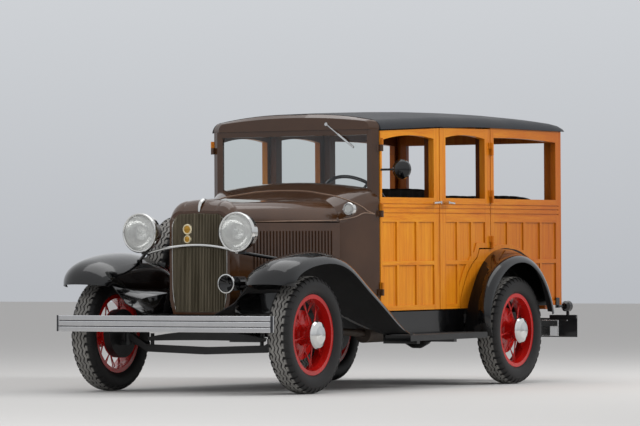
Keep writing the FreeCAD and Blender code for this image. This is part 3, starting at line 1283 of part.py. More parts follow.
def dash():
    """Instrument panel under the windshield, filling the cowl from side to side."""
    panel = cowl_solid(COWL_SHEET).common(box((-700, 700), (1046, 1058), (1130, 1400)))
    hole = Part.makeCylinder(COLUMN_RADIUS + RUNNING_FIT, 600, vec(*COLUMN_FOOT), column_axis())
    return panel.cut(hole)


def mirror():
    """Round mirror on an arm from the front edge of the driver's door."""
    z = 1401.0
    x = 760.0
    y = DOOR_FRONT_Y + 37
    root_y = DOOR_FRONT_Y + 15
    arm = rod((body_half_width(root_y) - 1, root_y, z), (x - 8, y, z), 7)
    joint = rod((x - 8, y, z), (x + 2, y, z), 9)
    head = rod((x, y - 10, z), (x, y + 10, z), 63)
    return largest(fused([arm, joint, head]).cut(side_leaf("front")))


def cowl_lamp():
    x = 560.0
    z = 1149.0
    bowl = turned_about_y([(0, 790), (30, 790), (42, 798), (42, 812), (34, 840), (18, 866), (0, 874)], x, z)
    foot = rod((x - 60, 830, z - 6), (x, 825, z - 6), 13)
    return fused([bowl, foot])


def tail_lamp():
    """Lamp on a stalk from the driver's side rear corner, with the bracket for a plate under it."""
    lamp_x = BODY_HALF_WIDTH + 11
    lamp_z = 515.0
    y = PLATE_Y
    side_x = BODY_HALF_WIDTH + RUNNING_FIT
    corner_y = BODY_REAR_Y - 60
    foot = box((side_x, BODY_HALF_WIDTH + 8), (corner_y - 30, corner_y + 20), (lamp_z - 10, lamp_z + 60))
    arm = box((BODY_HALF_WIDTH + 2, lamp_x + 4), (corner_y - 10, y - 40), (lamp_z - 8, lamp_z + 8))
    lamp = turned_about_y([(0, y - 74), (22, y - 70), (36, y - 50), (40, y - 16), (34, y - 10), (0, y - 6)],
                          lamp_x, lamp_z)
    top = PLATE_BOTTOM + PLATE_HEIGHT
    post = box((lamp_x - 10, lamp_x + 10), (y - 20, y - 10), (top, lamp_z - 20))
    bracket = box((lamp_x - 140, PLATE_OUTER_X), (y - 20, y), (top - 2, top + 22))
    plate = box((PLATE_OUTER_X - PLATE_WIDTH, PLATE_OUTER_X), (y - PLATE_THICK, y), (PLATE_BOTTOM, top))
    holes = []
    for way in (-1, 1):
        x = PLATE_OUTER_X - PLATE_WIDTH / 2 + way * PLATE_HOLE_SPACING / 2
        holes.append(rod((x, y - 30, top - 16), (x, y + 10, top - 16), PLATE_HOLE_RADIUS))
    return fused([foot, arm, lamp, post, bracket, plate]).cut(holes)


def wiper():
    """Arm and blade that hang from the header in front of the glass."""
    front = HEADER[0][0]
    x, z = 254, 1696
    angle = math.radians(-37.5)

    def strip(start, end, half_width, low_y, high_y):
        corners = []
        for along, across in ((start, -half_width), (end, -half_width), (end, half_width), (start, half_width)):
            corners.append(vec(x + along * math.cos(angle) - across * math.sin(angle), low_y,
                               z + along * math.sin(angle) + across * math.cos(angle)))
        return polygon(corners).extrude(vec(0, high_y - low_y, 0))

    arm = strip(0, 225, 3, front - 8, front - 4)
    blade = strip(105, 250, 6, front - 6, front + 3)
    pivot = rod((x, front - 12, z), (x, front, z), 11)
    return fused([arm, blade, pivot])


def spare_place(shape):
    """Stands a left-hand shape about X in the well of the passenger side front fender."""
    placed = mirrored(shape)
    origin = vec(0, 0, 0)
    placed = placed.rotate(origin, vec(0, 1, 0), SPARE_LEAN_DEG)
    placed = placed.rotate(origin, vec(0, 0, 1), SPARE_TOE_DEG)
    placed.translate(vec(*SPARE))
    return placed


def build():
    """Every piece by name, in the wagon's own place."""
    level = {
        "chassis_frame": chassis_frame(),
        "engine_block": engine_block(),
        "exhaust": exhaust(),
        "fuel_tank": fuel_tank(),
        "front_fender_left": front_fender(),
        "front_fender_right": front_fender_with_well(),
        "rear_fenders": group([rear_fender(), mirrored(rear_fender()), wheelhouse(), mirrored(wheelhouse())]),
        "running_boards": group([running_board(), mirrored(running_board())]),
        "hood_top_left": hood_top(40),
        "hood_top_right": mirrored(hood_top(40 + HOOD_KNUCKLE_PITCH // 2)),
        "hood_side_left": hood_side(),
        "hood_side_right": mirrored(hood_side()),
        "cowl": cowl(),
        "radiator_shell": radiator_shell(),
        "radiator_grille": radiator_grille(),
        "headlamps": group([headlamp(), mirrored(headlamp())]),
        "headlamp_lenses": group([headlamp_lens(), mirrored(headlamp_lens())]),
        "headlamp_bar": headlamp_bar(),
        "horn": horn(),
        "windshield_frame": windshield_frame(),
        "windshield_glass": windshield_glass(),
        "roof": roof(),
        "floor": floor(),
        "side_panel_left": side_panel(),
        "side_panel_right": mirrored(side_panel()),
        "centre_pillars": centre_pillars(),
        "door_front_left": door("front"),
        "door_front_right": mirrored(door("front")),
        "door_rear_left": door("rear"),
        "door_rear_right": mirrored(door("rear")),
        "tailgate": tailgate(),
        "tail_sill": tail_sill(),
        "seat_front": seat(*SEATS["front"]),
        "seat_middle": seat(*SEATS["middle"]),
        "seat_rear": seat(*SEATS["rear"]),
        "steering_column": steering_column(),
        "steering_wheel": steering_wheel(),
        "dash": dash(),
        "mirror": mirror(),
        "cowl_lamps": group([cowl_lamp(), mirrored(cowl_lamp())]),
        "wiper": wiper(),
        "spare_wheel": spare_place(wheel(HUB_RADIUS + 14)),
        "spare_tyre": spare_place(tyre()),
    }
    pieces = {name: lean_body(shape) for name, shape in level.items()}
    pieces["front_bumper"] = front_bumper()
    pieces["rear_bumper"] = rear_bumper()
    pieces["tail_lamp"] = tail_lamp()
    pieces["front_axle"] = front_axle()
    pieces["rear_axle"] = rear_axle()
    pieces["knuckle_left"] = knuckle()
    pieces["knuckle_right"] = mirrored(knuckle())
    wheel_shape = wheel(DRUM_RADIUS)
    tyre_shape = tyre()
    for end, y in (("front", 0.0), ("rear", WHEELBASE)):
        for hand, side in (("left", 1), ("right", -1)):
            pieces[f"wheel_{end}_{hand}"] = at_hub(wheel_shape, side, y)
            pieces[f"tyre_{end}_{hand}"] = at_hub(tyre_shape, side, y)
    return pieces


def main():
    pieces = build()
    outline = FreeCAD.BoundBox()
    for shape in pieces.values():
        outline.add(shape.BoundBox)
    middle = (outline.YMin + outline.YMax) / 2
    os.makedirs("parts", exist_ok=True)
    print(f"moved by y {-middle:.3f} mm, width {outline.XLength:.1f}, length {outline.YLength:.1f}")
    print(f"height {outline.ZMax:.1f}")
    for name, shape in pieces.items():
        shape.translate(vec(0, -middle, 0))
        if not shape.isValid():
            print("not valid:", name)
        shape.exportStep(f"parts/{name}.step")


main()
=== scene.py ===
"""Looks of the station wagon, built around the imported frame: finishes, soft pieces, fine trim, light, camera.

Points are written in millimetres with Y measured from the front axle, as the wagon is drawn. road() places a
point of the running gear, and body() a point of the body, which leans a little towards the nose.
"""
import math
import bmesh
import bpy
import numpy as np
from mathutils import Matrix, Vector
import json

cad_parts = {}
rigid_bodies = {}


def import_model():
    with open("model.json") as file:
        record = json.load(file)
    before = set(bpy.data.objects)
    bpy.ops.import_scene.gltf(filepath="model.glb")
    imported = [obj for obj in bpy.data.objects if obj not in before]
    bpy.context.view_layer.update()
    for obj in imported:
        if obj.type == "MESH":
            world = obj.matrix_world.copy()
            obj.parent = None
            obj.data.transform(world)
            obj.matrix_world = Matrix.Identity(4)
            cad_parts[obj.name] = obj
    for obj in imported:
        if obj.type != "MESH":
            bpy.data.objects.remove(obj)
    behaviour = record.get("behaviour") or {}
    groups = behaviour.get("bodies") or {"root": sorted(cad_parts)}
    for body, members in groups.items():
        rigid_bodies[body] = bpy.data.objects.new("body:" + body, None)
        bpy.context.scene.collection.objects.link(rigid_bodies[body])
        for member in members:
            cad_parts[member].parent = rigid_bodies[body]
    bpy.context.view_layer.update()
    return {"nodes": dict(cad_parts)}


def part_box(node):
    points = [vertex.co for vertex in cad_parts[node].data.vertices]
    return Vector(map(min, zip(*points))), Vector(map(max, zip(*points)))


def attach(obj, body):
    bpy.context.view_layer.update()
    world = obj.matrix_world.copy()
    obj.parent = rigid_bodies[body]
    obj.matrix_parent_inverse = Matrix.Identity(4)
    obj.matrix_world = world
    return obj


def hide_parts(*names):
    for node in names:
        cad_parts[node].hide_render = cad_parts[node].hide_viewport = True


for leftover in list(bpy.data.objects):
    bpy.data.objects.remove(leftover)

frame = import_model()
NODES = frame["nodes"]

MM = 0.001
LEAN = math.radians(0.653)
LEAN_Y = 1346.0
LEAN_Z = 1000.0
WHEELBASE = 2692.0
TRACK = 1422.0
TYRE_RADIUS = 360.0
TYRE_WIDTH = 152.0
BODY_HALF_WIDTH = 657.0
COWL_REAR_HALF_WIDTH = 620.0
DOOR_FRONT_Y = 1085.0
CENTRE_POST_Y = 1810.0
REAR_POST_Y = 2523.0
BODY_REAR_Y = 3570.0
SPARE = (-682.0, 708.0, 752.0)
SPARE_LEAN_DEG = 6.0
SPARE_TOE_DEG = 8.0
HEADLAMP = (352.0, -218.0, 1004.0)
LENS_RADIUS = 110.0
COWL_LAMP = (560.0, 790.0, 1149.0)
HORN = (296.0, 0.0, 690.0)
MIRROR_BACK = (760.0, 1122.0, 1401.0)
TAIL_LENS = (668.0, 3654.0, 515.0)
DASH_REAR_Y = 1058.0
DIAL_Z = 1262.0
GRILLE_FRONT_Y = -86.0
DISC_X = -75.0
DISC_Y = -105.0

hub_low, hub_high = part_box("tyre_front_left")
AXLE_Y = (hub_low.y + hub_high.y) / 2


def road(x, y, z):
    """A point of the running gear, in the row frame."""
    return Vector((x * MM, y * MM + AXLE_Y, z * MM))


def body(x, y, z):
    """A point of the leaning body, in the row frame."""
    dy = y - LEAN_Y
    dz = z - LEAN_Z
    leaning_y = LEAN_Y + dy * math.cos(LEAN) - dz * math.sin(LEAN)
    leaning_z = LEAN_Z + dy * math.sin(LEAN) + dz * math.cos(LEAN)
    return road(x, leaning_y, leaning_z)


def level(points):
    """Row-frame points as an array in drawn millimetres, with the body's lean taken out."""
    drawn = np.array(points, float).reshape(-1, 3)
    drawn[:, 1] -= AXLE_Y
    drawn /= MM
    dy = drawn[:, 1] - LEAN_Y
    dz = drawn[:, 2] - LEAN_Z
    drawn[:, 1] = LEAN_Y + dy * math.cos(LEAN) + dz * math.sin(LEAN)
    drawn[:, 2] = LEAN_Z - dy * math.sin(LEAN) + dz * math.cos(LEAN)
    return drawn


def rgb(red, green, blue):
    """A colour given as it looks on screen, from 0 to 255, in the shader's own terms."""
    parts = []
    for value in (red, green, blue):
        share = value / 255
        parts.append(share / 12.92 if share <= 0.04045 else ((share + 0.055) / 1.055) ** 2.4)
    return (*parts, 1.0)


class Finish:
    """The node tree of one material."""

    def __init__(self, name):
        self.material = bpy.data.materials.new(name)
        self.material.use_nodes = True
        self.tree = self.material.node_tree
        self.tree.nodes.clear()
        self.surface = self.node("BsdfPrincipled")
        output = self.node("OutputMaterial")
        self.tree.links.new(self.surface.outputs[0], output.inputs[0])
        self.position = self.node("TexCoord").outputs["Object"]

    def feed(self, socket, value):
        """Links a socket to another one, or sets it to a value."""
        if isinstance(value, bpy.types.NodeSocket):
            self.tree.links.new(value, socket)
        else:
            socket.default_value = value

    def node(self, kind, inputs=None, **settings):
        """A new node, with its inputs fed by name or number and its settings set."""
        made = self.tree.nodes.new("ShaderNode" + kind)
        for key, value in settings.items():
            setattr(made, key, value)
        for key, value in (inputs or {}).items():
            self.feed(made.inputs[key], value)
        return made

    def set(self, **values):
        """Sets sockets of the surface shader, whose names have spaces for underscores."""
        for key, value in values.items():
            self.feed(self.surface.inputs[key.replace("_", " ").title().replace("Ior", "IOR")], value)

    def levelled(self):
        """The body's drawn place in metres, with its lean taken out."""
        pivot = Vector((0.0, LEAN_Y * MM, LEAN_Z * MM))
        back = Matrix.Rotation(-LEAN, 3, "X")
        shift = back @ (-Vector((0.0, AXLE_Y, 0.0)) - pivot) + pivot
        inputs = {"Vector": self.position, "Location": shift, "Rotation": (-LEAN, 0, 0)}
        return self.node("Mapping", inputs).outputs[0]

    def stretched(self, scale, vector=None):
        """Coordinates scaled by axis, so that a pattern on them is stretched."""
        return self.node("Mapping", {"Vector": vector or self.position, "Scale": scale}).outputs[0]

    def noise(self, scale, detail=3.0, stretch=(1, 1, 1), roughness=0.5, vector=None):
        """A noise pattern as a value from 0 to 1."""
        vector = self.stretched(stretch, vector)
        inputs = {"Vector": vector, "Scale": scale, "Detail": detail, "Roughness": roughness}
        return self.node("TexNoise", inputs).outputs[0]

    def ramp(self, factor, stops):
        """A colour picked by a value, from (value, colour) stops."""
        made = self.node("ValToRGB", {"Fac": factor})
        elements = made.color_ramp.elements
        while len(elements) < len(stops):
            elements.new(0.5)
        for element, (place, colour) in zip(elements, stops):
            element.position = place
            element.color = colour
        return made.outputs[0]

    def span(self, factor, low, high, to_low=0.0, to_high=1.0):
        """A value moved from one range to another, and kept inside it."""
        inputs = {"Value": factor, "From Min": low, "From Max": high, "To Min": to_low, "To Max": to_high}
        return self.node("MapRange", inputs).outputs[0]

    def maths(self, operation, first, second=0.0, third=0.0):
        """The result of one operation on values."""
        made = self.node("Math", operation=operation)
        for socket, value in zip(made.inputs, (first, second, third)):
            self.feed(socket, value)
        return made.outputs[0]

    def mix(self, factor, first, second, blend="MIX"):
        """Two colours blended by a factor."""
        made = self.node("Mix", {"Factor": factor}, data_type="RGBA", blend_type=blend)
        self.feed(made.inputs[6], first)
        self.feed(made.inputs[7], second)
        return made.outputs[2]

    def any_of(self, value, ranges, grow=0.0):
        """1 where the value, in metres, lies in one of the (low, high) millimetre ranges."""
        found = None
        for low, high in ranges:
            inside = self.maths("COMPARE", value, (low + high) / 2 * MM, (high - low) / 2 * MM + grow)
            found = inside if found is None else self.maths("MAXIMUM", found, inside)
        return found

    def bump(self, height, strength, distance=0.001, normal=None):
        """Normals that follow a height, over other normals where they are given."""
        inputs = {"Height": height, "Strength": strength, "Distance": distance}
        if normal is not None:
            inputs["Normal"] = normal
        return self.node("Bump", inputs).outputs[0]

    def rounded(self, radius):
        """Normals that round the edges of solids drawn with sharp ones."""
        return self.node("Bevel", {"Radius": radius}, samples=4).outputs[0]

    def parts(self, vector):
        """The three components of a vector."""
        return self.node("SeparateXYZ", {"Vector": vector}).outputs


def enamel(name, colour, shade, roughness=0.16, edge=0.0015, coat=0.9, gloss=0.5):
    """Glossy paint: a thin clear coat, faint unevenness, and dust that dulls it in places."""
    made = Finish(name)
    cloud = made.noise(5.0, 4.0)
    fine = made.noise(90.0, 2.0)
    made.set(base_color=made.ramp(cloud, [(0.3, shade), (0.7, colour)]))
    made.set(roughness=made.span(cloud, 0.35, 0.75, roughness, roughness + 0.12))
    made.set(coat_weight=coat, coat_roughness=0.05, coat_ior=1.5, specular_ior_level=gloss)
    made.set(normal=made.bump(fine, 0.02, 0.0004, made.rounded(edge)))
    return made.material


def polished(name, colour, roughness=0.07, wear=0.1, edge=0.001):
    """Plated metal with faint smears."""
    made = Finish(name)
    smear = made.noise(14.0, 5.0, (1, 1, 0.4))
    smeared = tuple(c * 0.88 for c in colour[:3]) + (1.0,)
    made.set(base_color=made.ramp(smear, [(0.3, colour), (0.75, smeared)]))
    made.set(metallic=1.0, roughness=made.span(smear, 0.4, 0.8, roughness, roughness + wear))
    made.set(normal=made.bump(made.noise(240.0, 2.0), 0.01, 0.0003, made.rounded(edge)))
    return made.material


def iron(name, colour, roughness=0.5):
    """Black chassis paint or bare casting, dusty in patches."""
    made = Finish(name)
    cloud = made.noise(9.0, 6.0)
    dust = tuple(min(1.0, c * 1.9 + 0.008) for c in colour[:3]) + (1.0,)
    made.set(base_color=made.ramp(cloud, [(0.4, colour), (0.8, dust)]))
    made.set(roughness=made.span(cloud, 0.3, 0.8, roughness - 0.12, roughness + 0.15))
    made.set(normal=made.bump(made.noise(160.0, 4.0), 0.12, 0.0008, made.rounded(0.002)))
    return made.material


RAILS_Z = ((500, 532), (790, 818), (1069, 1226), (1560, 1800))
STILES_Y = ((DOOR_FRONT_Y, DOOR_FRONT_Y + 25), (CENTRE_POST_Y - 70, CENTRE_POST_Y + 85),
            (REAR_POST_Y - 80, REAR_POST_Y + 49), (BODY_REAR_Y - 82, BODY_REAR_Y + 5))
WOOD_LIGHT = rgb(232, 156, 34)
WOOD_MID = rgb(220, 136, 20)
WOOD_DARK = rgb(190, 107, 14)
WOOD_JOINT = rgb(70, 34, 12)
# Painted shade: darkens the wood inside the body
WOOD_PAINTED_SHADE = rgb(96, 70, 52)
# Painted shade: darkens and reddens the wood towards the tail
REAR_PAINTED_SHADE = (0.55, 0.4, 0.54, 1.0)
UNLIT = rgb(7, 6, 6)
# The wheel arch in the body side, inside which the wood is painted near black as shade: degrees about the hub,
# and radius
ARCH = ((15, 736), (38, 652), (58, 592), (78, 555), (98, 545), (118, 534), (138, 516), (160, 520), (180, 529))
HUB_IN_BODY = (2706.9, 344.6)


def painted_arch_shade(made, place):
    """1 where the body side lies inside the rear wheel arch, under the line of the fender: where the wood is
    painted near black as shade.
    """
    x, y, z = made.parts(place)
    along = made.maths("SUBTRACT", y, HUB_IN_BODY[0] * MM)
    up = made.maths("SUBTRACT", z, HUB_IN_BODY[1] * MM)
    turn = made.maths("MULTIPLY", made.maths("ARCTAN2", up, along), 1 / math.pi)
    edge = made.ramp(turn, [(degrees / 180, (radius * MM,) * 3 + (1.0,)) for degrees, radius in ARCH])
    squares = made.maths("ADD", made.maths("MULTIPLY", along, along), made.maths("MULTIPLY", up, up))
    return made.maths("LESS_THAN", made.maths("SQRT", squares), made.maths("ADD", edge, 0.002))


def varnish(made, place, colour, height, edge):
    """The clear finish on wood, over a colour and a grain height, with painted shade: near black and uncoated
    inside the rear wheel arch.
    """
    dark = painted_arch_shade(made, place)
    # Painted shade: inside the arch the wood's colour gives way to near black UNLIT
    made.set(base_color=made.mix(dark, colour, UNLIT), roughness=made.span(height, 0.2, 0.8, 0.36, 0.48))
    made.set(coat_weight=made.span(dark, 0.0, 1.0, 0.2, 0.0), coat_roughness=0.14, specular_ior_level=0.15)
    made.set(normal=made.bump(height, 0.06, 0.0006, made.rounded(edge)))
    return made.material


def wood_grain(made, place, along):
    """Colour and height of figured maple whose grain runs along one axis of the drawn body."""
    across = {"x": (1.0, 22.0, 22.0), "y": (22.0, 1.0, 22.0), "z": (22.0, 22.0, 1.0)}[along]
    streak = made.noise(1.6, 8.0, across, 0.62, place)
    pores = made.noise(9.0, 3.0, tuple(a * 1.6 for a in across), 0.5, place)
    figure = made.noise(5.0, 2.0, (1, 1, 1), 0.5, place)
    height = made.maths("ADD", made.maths("MULTIPLY", streak, 0.7), made.maths("MULTIPLY", pores, 0.3))
    colour = made.ramp(height, [(0.3, WOOD_DARK), (0.46, WOOD_MID), (0.62, WOOD_LIGHT)])
    colour = made.mix(made.span(figure, 0.35, 0.7, 0.0, 0.16), colour, WOOD_LIGHT, "MULTIPLY")
    return colour, height


def shade_towards_rear(made, place, colour):
    """The wood is painted darker and redder from the front doors to the tail, as shade."""
    along = made.parts(place)[1]
    return made.mix(made.span(along, 1.1, 3.5), colour, REAR_PAINTED_SHADE, "MULTIPLY")


def framed_wood(name):
    """Frame members: upright grain in posts, level grain in rails, and a fine line at each joint."""
    made = Finish(name)
    place = made.levelled()
    x, y, z = made.parts(place)
    rails = made.any_of(z, RAILS_Z)
    stiles = made.any_of(y, STILES_Y)
    level_grain = made.maths("MULTIPLY", rails, made.maths("SUBTRACT", 1.0, stiles))
    up_colour, up_height = wood_grain(made, place, "z")
    long_colour, long_height = wood_grain(made, place, "y")
    colour = made.mix(level_grain, up_colour, long_colour)
    height = made.mix(level_grain, up_height, long_height)
    beside = made.maths("SUBTRACT", made.any_of(y, STILES_Y, 0.0009), stiles)
    joint = made.maths("MULTIPLY", beside, rails)
    colour = made.mix(made.maths("MULTIPLY", joint, 0.7), shade_towards_rear(made, place, colour), WOOD_JOINT)
    return varnish(made, place, colour, height, 0.0028)


def board_wood(name, along, shaded_inside=False):
    """Panels and boards whose grain runs one way; those inside the body are painted darker, as shade."""
    made = Finish(name)
    place = made.levelled()
    colour, height = wood_grain(made, place, along)
    colour = shade_towards_rear(made, place, colour)
    # Wood inside the body is a darker copy of the same wood: painted shade
    if shaded_inside:
        colour = made.mix(0.92, colour, WOOD_PAINTED_SHADE, "MULTIPLY")
    return varnish(made, place, colour, height, 0.002)


def roof_cloth(name):
    """Rubbered roof fabric with a fine pebbled grain."""
    made = Finish(name)
    pebble = made.node("TexVoronoi", {"Vector": made.position, "Scale": 420.0}).outputs[0]
    cloud = made.noise(3.0, 4.0)
    made.set(base_color=made.ramp(cloud, [(0.3, rgb(25, 27, 31)), (0.7, rgb(35, 38, 43))]))
    made.set(roughness=made.span(cloud, 0.3, 0.7, 0.5, 0.64), specular_ior_level=0.3, sheen_weight=0.05)
    made.set(normal=made.bump(pebble, 0.25, 0.0008, made.rounded(0.004)))
    return made.material


def rubber(name, colour, worn):
    """Tyre rubber about a line along X: dusty on the tread, darker on the walls."""
    made = Finish(name)
    x, y, z = made.parts(made.position)
    radius = made.maths("SQRT", made.maths("ADD", made.maths("MULTIPLY", y, y), made.maths("MULTIPLY", z, z)))
    patches = made.span(made.noise(22.0, 5.0), 0.3, 0.7, 0.6, 1.0)
    dust = made.maths("MULTIPLY", made.span(radius, 0.352, 0.356), patches)
    made.set(base_color=made.mix(dust, colour, worn), roughness=made.span(dust, 0.0, 1.0, 0.55, 0.85))
    out = made.node("CombineXYZ", {"X": radius}).outputs[0]
    rings = made.node("TexNoise", {"Vector": out, "Scale": 260.0}).outputs[0]
    height = made.maths("ADD", made.maths("MULTIPLY", rings, 0.4), made.noise(240.0, 3.0))
    made.set(normal=made.bump(height, 0.2, 0.0006), specular_ior_level=0.35)
    return made.material


def mat_rubber(name):
    """Moulded rubber matting."""
    made = Finish(name)
    made.set(base_color=made.ramp(made.noise(12.0, 5.0), [(0.35, rgb(34, 34, 35)), (0.8, rgb(62, 60, 57))]))
    made.set(roughness=0.62, specular_ior_level=0.4)
    made.set(normal=made.bump(made.noise(220.0, 3.0), 0.15, 0.0006, made.rounded(0.001)))
    return made.material


def leather(name, colour, worn):
    """Grained leather, lighter in patches."""
    made = Finish(name)
    grain = {"Vector": made.position, "Scale": 260.0}
    cells = made.node("TexVoronoi", grain, feature="DISTANCE_TO_EDGE").outputs[0]
    made.set(base_color=made.ramp(made.noise(7.0, 4.0), [(0.35, colour), (0.75, worn)]))
    made.set(roughness=0.5, specular_ior_level=0.3)
    made.set(normal=made.bump(cells, 0.35, 0.0005))
    return made.material


def glass(name, tint, roughness=0.0, clear=1.0):
    """Glass, which scatters light where it isn't wholly clear."""
    made = Finish(name)
    made.set(base_color=tint, transmission_weight=clear, roughness=roughness, ior=1.45)
    made.set(normal=made.bump(made.noise(6.0, 1.0), 0.004, 0.001))
    return made.material


def pane(name):
    """Thin flat glass that lets the light through without bending it."""
    made = Finish(name)
    clear = made.node("BsdfTransparent", {"Color": (0.93, 0.95, 0.94, 1.0)})
    gloss = made.node("BsdfGlossy", {"Roughness": 0.02})
    facing = made.node("Fresnel", {"IOR": 1.45})
    blend = made.node("MixShader", {0: facing.outputs[0], 1: clear.outputs[0], 2: gloss.outputs[0]})
    output = next(n for n in made.tree.nodes if n.bl_idname == "ShaderNodeOutputMaterial")
    made.tree.links.new(blend.outputs[0], output.inputs[0])
    return made.material


def brushed_bars(name):
    """Upright grille bars of brushed metal, in a warm grey."""
    made = Finish(name)
    brushed = made.noise(30.0, 4.0, (1, 1, 0.08))
    made.set(base_color=made.ramp(brushed, [(0.3, rgb(92, 84, 66)), (0.7, rgb(138, 128, 108))]))
    made.set(metallic=0.6, roughness=made.span(brushed, 0.3, 0.7, 0.3, 0.45))
    made.set(normal=made.bump(brushed, 0.05, 0.0005, made.rounded(0.0008)))
    return made.material


BROWN = enamel("brown_enamel", rgb(74, 47, 26), rgb(66, 41, 22), coat=0.9, gloss=0.25)
# The mouldings are body brown; this lighter tone is a painted highlight, standing for the sky's reflection on
# them
MOULDING_PAINTED_HIGHLIGHT = enamel("moulding_enamel_painted_highlight", rgb(148, 121, 101), rgb(132, 106, 87), 0.25, coat=0.5, gloss=0.3)
HINGE_PAINT = enamel("hinge_enamel", rgb(206, 122, 26), rgb(190, 108, 22), 0.4, coat=0.1, gloss=0.25)
BLACK = enamel("black_enamel", rgb(7, 7, 8), rgb(5, 5, 6), 0.12, coat=0.75, gloss=0.2)
UNDERSIDE = iron("fender_underside", UNLIT, 0.85)
SATIN_BLACK = enamel("satin_black", rgb(8, 8, 9), rgb(6, 6, 7), 0.5, coat=0.0, gloss=0.2)
RED = enamel("red_enamel", rgb(184, 24, 18), rgb(164, 19, 15), 0.2, 0.001, 0.4, 0.25)
CHROME = polished("chrome", rgb(222, 222, 220))
BUMPER_CHROME = polished("bumper_chrome", rgb(232, 232, 233), 0.08, 0.04, 0.006)
GROOVE_CHROME = polished("bumper_groove", rgb(74, 75, 78), 0.3)
NICKEL = polished("satin_nickel", rgb(186, 182, 172), 0.2)
GOLD = polished("brass_disc", rgb(196, 150, 66), 0.22)
IRON = iron("chassis_paint", rgb(20, 20, 20))
CASTING = iron("engine_casting", rgb(52, 54, 52), 0.55)
MUFFLER = iron("exhaust_steel", rgb(70, 60, 52), 0.55)
WOOD_FRAME = framed_wood("varnished_frame")
WOOD_PANEL = board_wood("varnished_panel", "z")
# Pillars, plinths and floor take the darker copy of the wood: painted shade
WOOD_INSIDE = board_wood("pillar_wood", "z", True)
WOOD_FLOOR = board_wood("floor_boards", "y", True)
ROOF = roof_cloth("roof_cloth")
TYRE = rubber("tyre_rubber", rgb(27, 26, 26), rgb(142, 140, 136))
MATTING = mat_rubber("ribbed_matting")
LEATHER = leather("seat_leather", rgb(20, 15, 12), rgb(31, 23, 18))
WINDOW = pane("window_glass")
LENS = glass("lens_glass", rgb(246, 248, 246), 0.02)
FROSTED = glass("pressed_lens", rgb(240, 242, 240), 0.32, 0.6)
RED_LENS = glass("red_lens", rgb(190, 16, 14), 0.05)
GRILLE = brushed_bars("grille_steel")
PLATE = enamel("plate_enamel", rgb(30, 30, 32), rgb(26, 26, 28), 0.3)
BAKELITE = enamel("black_bakelite", rgb(14, 13, 13), rgb(10, 10, 10), 0.22)
CREAM = enamel("cream_enamel", rgb(226, 214, 178), rgb(216, 202, 164), 0.25)


# Where the finishes change on the solids, in drawn millimetres
PROUD = 2.5
HANDLE_Z = 1193.0
HANDLE_HALF_HEIGHT = 22.0
HANDLE_REACH = 150.0
PANEL_DEPTH = 9.0
PANEL_SLACK = 1.5
INNER_DEPTH = 30.0
TAIL_FACE_Y = BODY_REAR_Y + 2.0
TAIL_HANDLE_Z = 1000.0
TAIL_HINGE_Z = 700.0
FENDER_INNER_X = 656.0
FENDER_OUTER_X = 770.0
MATTING_X = 655.0
MATTING_Z = 340.0
GRILLE_BARS_Y = -42.0
LAMP_BAR_HALF = 322.0
FRONT_BUMPER_Y = -482.0
GROOVES_Z = (432.1, 467.1)
GROOVE_HALF = 3.2
REAR_BUMPER_Y = 3590.0
PLATE_Y = 3600.0
PLATE_TOP_Z = 448.0
# Shares of a face's normal along an axis: square to it, mostly or half along it, and looking down
SQUARE_ON = 0.9
MOSTLY = 0.8
HALF = 0.5
DOWNWARD = -0.2


def half_width(y):
    """Outer half width of the wooden body: narrower towards the windshield."""
    taper = (BODY_HALF_WIDTH - COWL_REAR_HALF_WIDTH) / (CENTRE_POST_Y - DOOR_FRONT_Y)
    return BODY_HALF_WIDTH - np.maximum(0.0, CENTRE_POST_Y - y) * taper


def face_vectors(o, key):
    """The centre or the normal of each face of an object, one row each."""
    values = np.zeros(len(o.data.polygons) * 3, np.float32)
    o.data.polygons.foreach_get(key, values)
    return values.reshape(-1, 3)


def paint(o, finishes, index):
    """Gives an object its finishes, and each face the number of its own."""
    o.data.materials.clear()
    for finish in finishes:
        o.data.materials.append(finish)
    o.data.polygons.foreach_set("material_index", index)


def dress(node, finish, *rules):
    """Gives a CAD node its finish, and others to the faces that a rule picks by place and direction."""
    o = NODES[node]
    index = np.zeros(len(o.data.polygons), np.int32)
    if rules:
        x, y, z = level(face_vectors(o, "center")).T
        normals = face_vectors(o, "normal")
        for number, (_, test) in enumerate(rules, 1):
            index[test(x, y, z, normals)] = number
    paint(o, [finish] + [other for other, _ in rules], index)


def is_handle(x, y, z, n):
    """Door handles, which stand proud of the side near the centre post."""
    proud = np.abs(x) - half_width(y)
    near = (np.abs(z - HANDLE_Z) < HANDLE_HALF_HEIGHT) & (np.abs(y - CENTRE_POST_Y) < HANDLE_REACH)
    return (proud > PROUD) & near


def is_hinge(x, y, z, n):
    """Everything else that stands proud of the side: the small hinge blocks."""
    proud = np.abs(x) - half_width(y)
    return (proud > PROUD) & ~is_handle(x, y, z, n)


def is_recess(x, y, z, n):
    """Faces of the inset panels, seen from outside or inside."""
    proud = np.abs(x) - half_width(y)
    return (np.abs(proud + PANEL_DEPTH) < PANEL_SLACK) & (np.abs(n[:, 0]) > SQUARE_ON)


def is_inside(x, y, z, n):
    """Inner faces of the body sides."""
    return (np.sign(x) * n[:, 0] < -HALF) & (np.abs(x) < half_width(y) - INNER_DEPTH)


def is_underside(x, y, z, n):
    """Faces that look down."""
    return n[:, 2] < DOWNWARD


def is_tail_panel(x, y, z, n):
    """The inset panel of the tailgate."""
    return (np.abs(y - BODY_REAR_Y + PANEL_DEPTH) < PANEL_SLACK) & (np.abs(n[:, 1]) > SQUARE_ON)


def is_fender_inside(x, y, z, n):
    """Undersides of the rear fenders, and all that lies within the body side."""
    return is_underside(x, y, z, n) | (np.abs(x) < FENDER_INNER_X)


